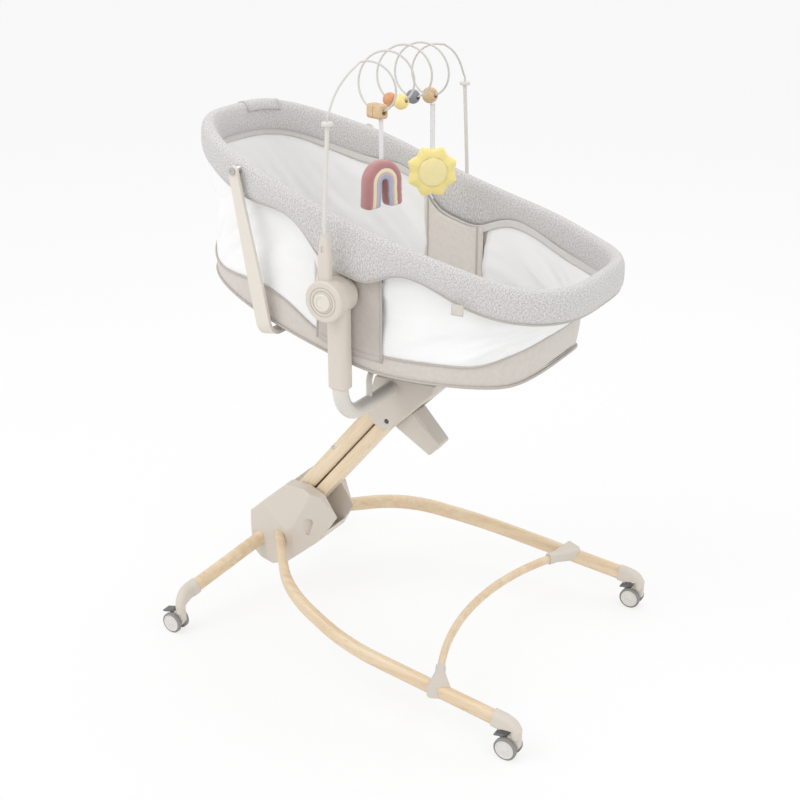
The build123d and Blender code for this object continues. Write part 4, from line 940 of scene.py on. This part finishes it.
def rainbow_profile():
    """Round the rainbow's section: (radius, depth, finish), with a dip between the stripes."""
    face = [(0.0390, 0.0108, 0), (0.0370, 0.0126, 0), (0.0330, 0.0136, 0), (0.0295, 0.0134, 0),
            (0.0272, 0.0120, 1), (0.0262, 0.0131, 1), (0.0225, 0.0138, 1), (0.0208, 0.0134, 1),
            (0.0200, 0.0122, 2), (0.0190, 0.0133, 2), (0.0160, 0.0137, 2), (0.0148, 0.0133, 2),
            (0.0140, 0.0121, 3), (0.0130, 0.0131, 3), (0.0105, 0.0131, 3), (0.0086, 0.0122, 3),
            (0.0078, 0.0106, 0), (0.0062, 0.0080, 0)]
    side = [(0.0402, 0.0092, 0), (0.0396, 0.0098, 0)]
    back = [(radius, -depth, kind) for radius, depth, kind in reversed(face)]
    middle = [(0.0055, 0.0030, 0), (0.0055, -0.0030, 0)]
    outer = [(0.0396, -0.0098, 0), (0.0402, -0.0092, 0), (0.0408, -0.0040, 0), (0.0410, 0.0, 0),
             (0.0408, 0.0040, 0)]
    return side + face + middle + back + outer


def rainbow():
    """The stuffed rainbow, swept round its arch and down its two legs."""
    facing, level = toy_ways(RAINBOW_TURN)
    profile = rainbow_profile()
    stations = []
    for step in range(13):
        stations.append((math.pi, -RAINBOW_LEG * (1 - step / 12)))
    for step in range(1, 40):
        stations.append((math.pi * (1 - step / 40), 0.0))
    for step in range(13):
        stations.append((0.0, -RAINBOW_LEG * step / 12))
    rows = []
    for angle, drop in stations:
        outward = Vector((0, 0, 1)) * math.sin(angle) + level * math.cos(angle)
        end = min(1.0, (RAINBOW_LEG + drop) / 0.010)
        shrink = 0.35 + 0.65 * math.sqrt(max(0.0, 1 - (1 - end) ** 2))
        splay = 0.0030 * (drop / RAINBOW_LEG) ** 2
        row = []
        for radius, depth, _ in profile:
            crease = 0.0007 * noise.noise(Vector((drop * 190 + angle * 4, radius * 60, depth * 50)))
            reach = RAINBOW_BAND + (radius - RAINBOW_BAND) * shrink + splay + crease
            lift = Vector((0, 0, drop + 0.0015 * (1 - end)))
            row.append(RAINBOW_PLACE + outward * reach + lift + facing * (depth * shrink + crease))
        rows.append(row)
    toy = grid("rainbow_plush", rows, close_columns=True)
    fill_ends(toy, len(profile))
    toy.data.materials.clear()
    for kind in ("rose", "cream", "mauve", "blue"):
        toy.data.materials.append(FINISHES[kind])
    around = len(profile)
    for index, polygon in enumerate(toy.data.polygons):
        if index < (len(rows) - 1) * around:
            here, after = profile[index % around], profile[(index + 1) % around]
            polygon.material_index = here[2] if here[0] > after[0] else after[2]
    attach(toy, "rainbow_toy")
    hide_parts("rainbow")


def sun_depth(radius, reach, peak):
    """Half the sun's thickness at a radius, along a ray whose length is reach."""
    if radius < SUN_MIDDLE - 0.0015:
        return 0.0142 * math.sqrt(1 - 0.30 * (radius / SUN_MIDDLE) ** 2)
    if radius < SUN_MIDDLE + 0.0010:
        return 0.0092
    share = (radius - SUN_MIDDLE) / (reach - SUN_MIDDLE)
    return 0.0012 + 0.0102 * (0.82 + 0.18 * peak) * math.sqrt(max(0.0, 1 - share ** 2.2))


def sun():
    """The stuffed sun: eight rays round a raised middle."""
    facing, level = toy_ways(SUN_TURN)
    inner = [0.0004, 0.006, 0.012, 0.018, 0.024, 0.0270, SUN_MIDDLE, 0.0302]
    rays = [0.10, 0.25, 0.42, 0.60, 0.76, 0.88, 0.96, 1.0]
    columns = 160
    rows = []
    for front in (1, -1):
        half = []
        for step in range(len(inner) + len(rays)):
            row = []
            for column in range(columns):
                angle = 2 * math.pi * column / columns
                peak = 1 - abs(2 * ((angle / (math.pi / 4)) % 1) - 1)
                reach = SUN_VALLEY + (SUN_POINT - SUN_VALLEY) * peak ** 1.15
                if step < len(inner):
                    radius = inner[step]
                else:
                    radius = inner[-1] + (reach - inner[-1]) * rays[step - len(inner)]
                across = level * (radius * math.sin(angle)) + Vector((0, 0, radius * math.cos(angle)))
                puff = 0.0005 * noise.noise(Vector((radius * 90, angle * 3, front * 2.0)))
                depth = sun_depth(radius, reach, peak) + puff * (radius < reach * 0.98)
                row.append(SUN_PLACE + across + facing * (front * depth))
            half.append(row)
        rows += half if front > 0 else half[::-1]
    toy = grid("sun_plush", rows, close_columns=True)
    fill_ends(toy, columns)
    toy.data.materials.clear()
    toy.data.materials.append(FINISHES["sun"])
    toy.data.materials.append(FINISHES["sun_middle"])
    centre = SUN_PLACE + ROW_SHIFT
    for polygon in toy.data.polygons:
        away = polygon.center - centre
        flat = away - facing * away.dot(facing)
        polygon.material_index = 1 if flat.length < SUN_MIDDLE else 0
    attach(toy, "sun_toy")
    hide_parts("sun")


def toy_tapes():
    """The flat white tapes that the toys hang by."""
    for toy, holder, place, turn in (("rainbow", "wood_block", RAINBOW_PLACE, RAINBOW_TURN),
                                     ("sun", "wood_bead", SUN_PLACE, SUN_TURN)):
        level = toy_ways(turn)[1]
        low, high = TAPE_LOW[toy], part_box(toy + "_tape")[1][2] - 0.0003
        rows = []
        for step in range(21):
            z = low + (high - low) * step / 20
            rows.append([Vector((place.x, place.y, z)) + level * (TAPE_HALF * share)
                         for share in (-1.0, -0.5, 0.0, 0.5, 1.0)])
        ribbon = grid(toy + "_ribbon", rows)
        thicken(ribbon, CLOTH_THICK["ribbon"], 0.0)
        finish(ribbon, "tape")
        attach(ribbon, toy + "_toy")
        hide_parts(toy + "_tape")


# Small hardware


def turned(name, profile, place, axis, body, look, sides=40):
    """A small turned piece: (radius, depth) stations along an axis from its place."""
    way = Vector(axis)
    side = way.orthogonal().normalized()
    other = way.cross(side)
    turns = [2 * math.pi * i / sides for i in range(sides)]
    rows = []
    for radius, depth in profile:
        middle = Vector(place) + way * depth
        rows.append([middle + side * (radius * math.cos(a)) + other * (radius * math.sin(a)) for a in turns])
    piece = grid(name, rows, close_columns=True)
    fill_ends(piece, sides)
    finish(piece, look)
    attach(piece, body)


def wheel_discs():
    """The pale dished discs in the outer faces of the castor wheels."""
    profile = [(0.0190, -0.0002), (0.0190, 0.0010), (0.0184, 0.0015), (0.0172, 0.0015), (0.0164, 0.0007),
               (0.0110, 0.0003), (0.0100, 0.0009), (0.0082, 0.0011), (0.0074, 0.0006), (0.0060, 0.0006),
               (0.0054, 0.0013), (0.0040, 0.0018), (0.0004, 0.0020)]
    for place, (x, y) in CASTORS.items():
        for side, word in ((-1, "near_disc"), (1, "far_disc")):
            turned("wheel_" + place + "_" + word, profile,
                   (x - WHEEL_TRAIL, y + side * WHEEL_RECESS, WHEEL_CENTRE), (0, side, 0),
                   "wheels_" + place, "disc")


def caps():
    """The screw in the rear column bar and the caps over the bracket's pivot."""
    dome = [(0.0046, -0.0004), (0.0046, 0.0006), (0.0038, 0.0011), (0.0018, 0.0009), (0.0014, 0.0004),
            (0.0003, 0.0004)]
    plug = [(0.0052, 0.0), (0.0052, 0.0014), (0.0044, 0.0021), (0.0003, 0.0023)]
    kinds = (("column_screw_", dome, COLUMN_SCREW, "rear_bar", "steel"),
             ("pivot_plug_", plug, PIVOT_PLUG, "head", "dark"))
    for side, word in ((-1, "near"), (1, "far")):
        for name, profile, (x, y, z), body, look in kinds:
            turned(name + word, profile, (x, side * y, z), (0, side, 0), body, look)


# Studio


def studio():
    """A pale floor, a soft sky and large lamps."""
    bpy.ops.mesh.primitive_plane_add(size=60.0, location=(0, 0, 0))
    floor = bpy.context.object
    floor.name = "studio_floor"
    made, nodes, links, shader = material("Studio floor")
    shader.inputs["Base Color"].default_value = (0.88, 0.88, 0.88, 1.0)
    shader.inputs["Roughness"].default_value = 1.0
    white = nodes.new("ShaderNodeEmission")
    white.inputs["Strength"].default_value = 1.0
    white.inputs["Color"].default_value = (1.0, 1.0, 1.0, 1.0)
    path = nodes.new("ShaderNodeLightPath")
    mix = nodes.new("ShaderNodeMixShader")
    seen = math_node(nodes, links, "MULTIPLY", path.outputs["Is Camera Ray"], 0.75)
    links.new(seen, mix.inputs[0])
    links.new(shader.outputs[0], mix.inputs[1])
    links.new(white.outputs[0], mix.inputs[2])
    links.new(mix.outputs[0], nodes["Material Output"].inputs["Surface"])
    floor.data.materials.append(made)
    world = bpy.data.worlds.new("Studio")
    bpy.context.scene.world = world
    world.use_nodes = True
    nodes, links = world.node_tree.nodes, world.node_tree.links
    back = nodes["Background"]
    back.inputs["Color"].default_value = (1.0, 1.0, 1.0, 1.0)
    back.inputs["Strength"].default_value = 0.86
    shown = nodes.new("ShaderNodeBackground")
    shown.inputs["Color"].default_value = (1.0, 1.0, 1.0, 1.0)
    shown.inputs["Strength"].default_value = 1.0
    path = nodes.new("ShaderNodeLightPath")
    mix = nodes.new("ShaderNodeMixShader")
    any_ray = math_node(nodes, links, "MAXIMUM", path.outputs["Is Camera Ray"], path.outputs["Is Glossy Ray"])
    any_ray = math_node(nodes, links, "MAXIMUM", any_ray, path.outputs["Is Transmission Ray"])
    links.new(any_ray, mix.inputs[0])
    links.new(back.outputs[0], mix.inputs[1])
    links.new(shown.outputs[0], mix.inputs[2])
    links.new(mix.outputs[0], nodes["World Output"].inputs["Surface"])
    for name, place, power, size in LAMPS:
        lamp = bpy.data.lights.new(name, "AREA")
        lamp.energy = power
        lamp.size = size
        lamp_object = bpy.data.objects.new(name, lamp)
        lamp_object.location = place
        lamp_object.rotation_euler = (LAMP_AIM - Vector(place)).to_track_quat("-Z", "Y").to_euler()
        bpy.context.scene.collection.objects.link(lamp_object)


def camera():
    """The camera at the photograph's view."""
    lens = bpy.data.cameras.new("view")
    lens.lens = CAMERA_LENS
    lens.sensor_width = CAMERA_SENSOR
    lens.clip_end = 100.0
    view = bpy.data.objects.new("view", lens)
    a, e = math.radians(CAMERA_AZIMUTH), math.radians(CAMERA_ELEVATION)
    back = Vector((math.sin(a) * math.cos(e), -math.cos(a) * math.cos(e), math.sin(e)))
    view.location = CAMERA_PLACE
    view.rotation_euler = (-back).to_track_quat("-Z", "Y").to_euler()
    bpy.context.scene.collection.objects.link(view)
    bpy.context.scene.camera = view
    bpy.context.scene.view_settings.view_transform = "Standard"


camera()
studio()
dress_nodes()
rim_pad()
rim_hem()
rim_piping_and_shade_line()
rim_tab()
bare_label()
skirt()
side_panels()
inner_panels()
netting("netting_head", "mesh_wall_head", True)
netting("netting_foot", "mesh_wall_foot", False)
mattress()
rainbow()
sun()
toy_tapes()
wheel_discs()
caps()
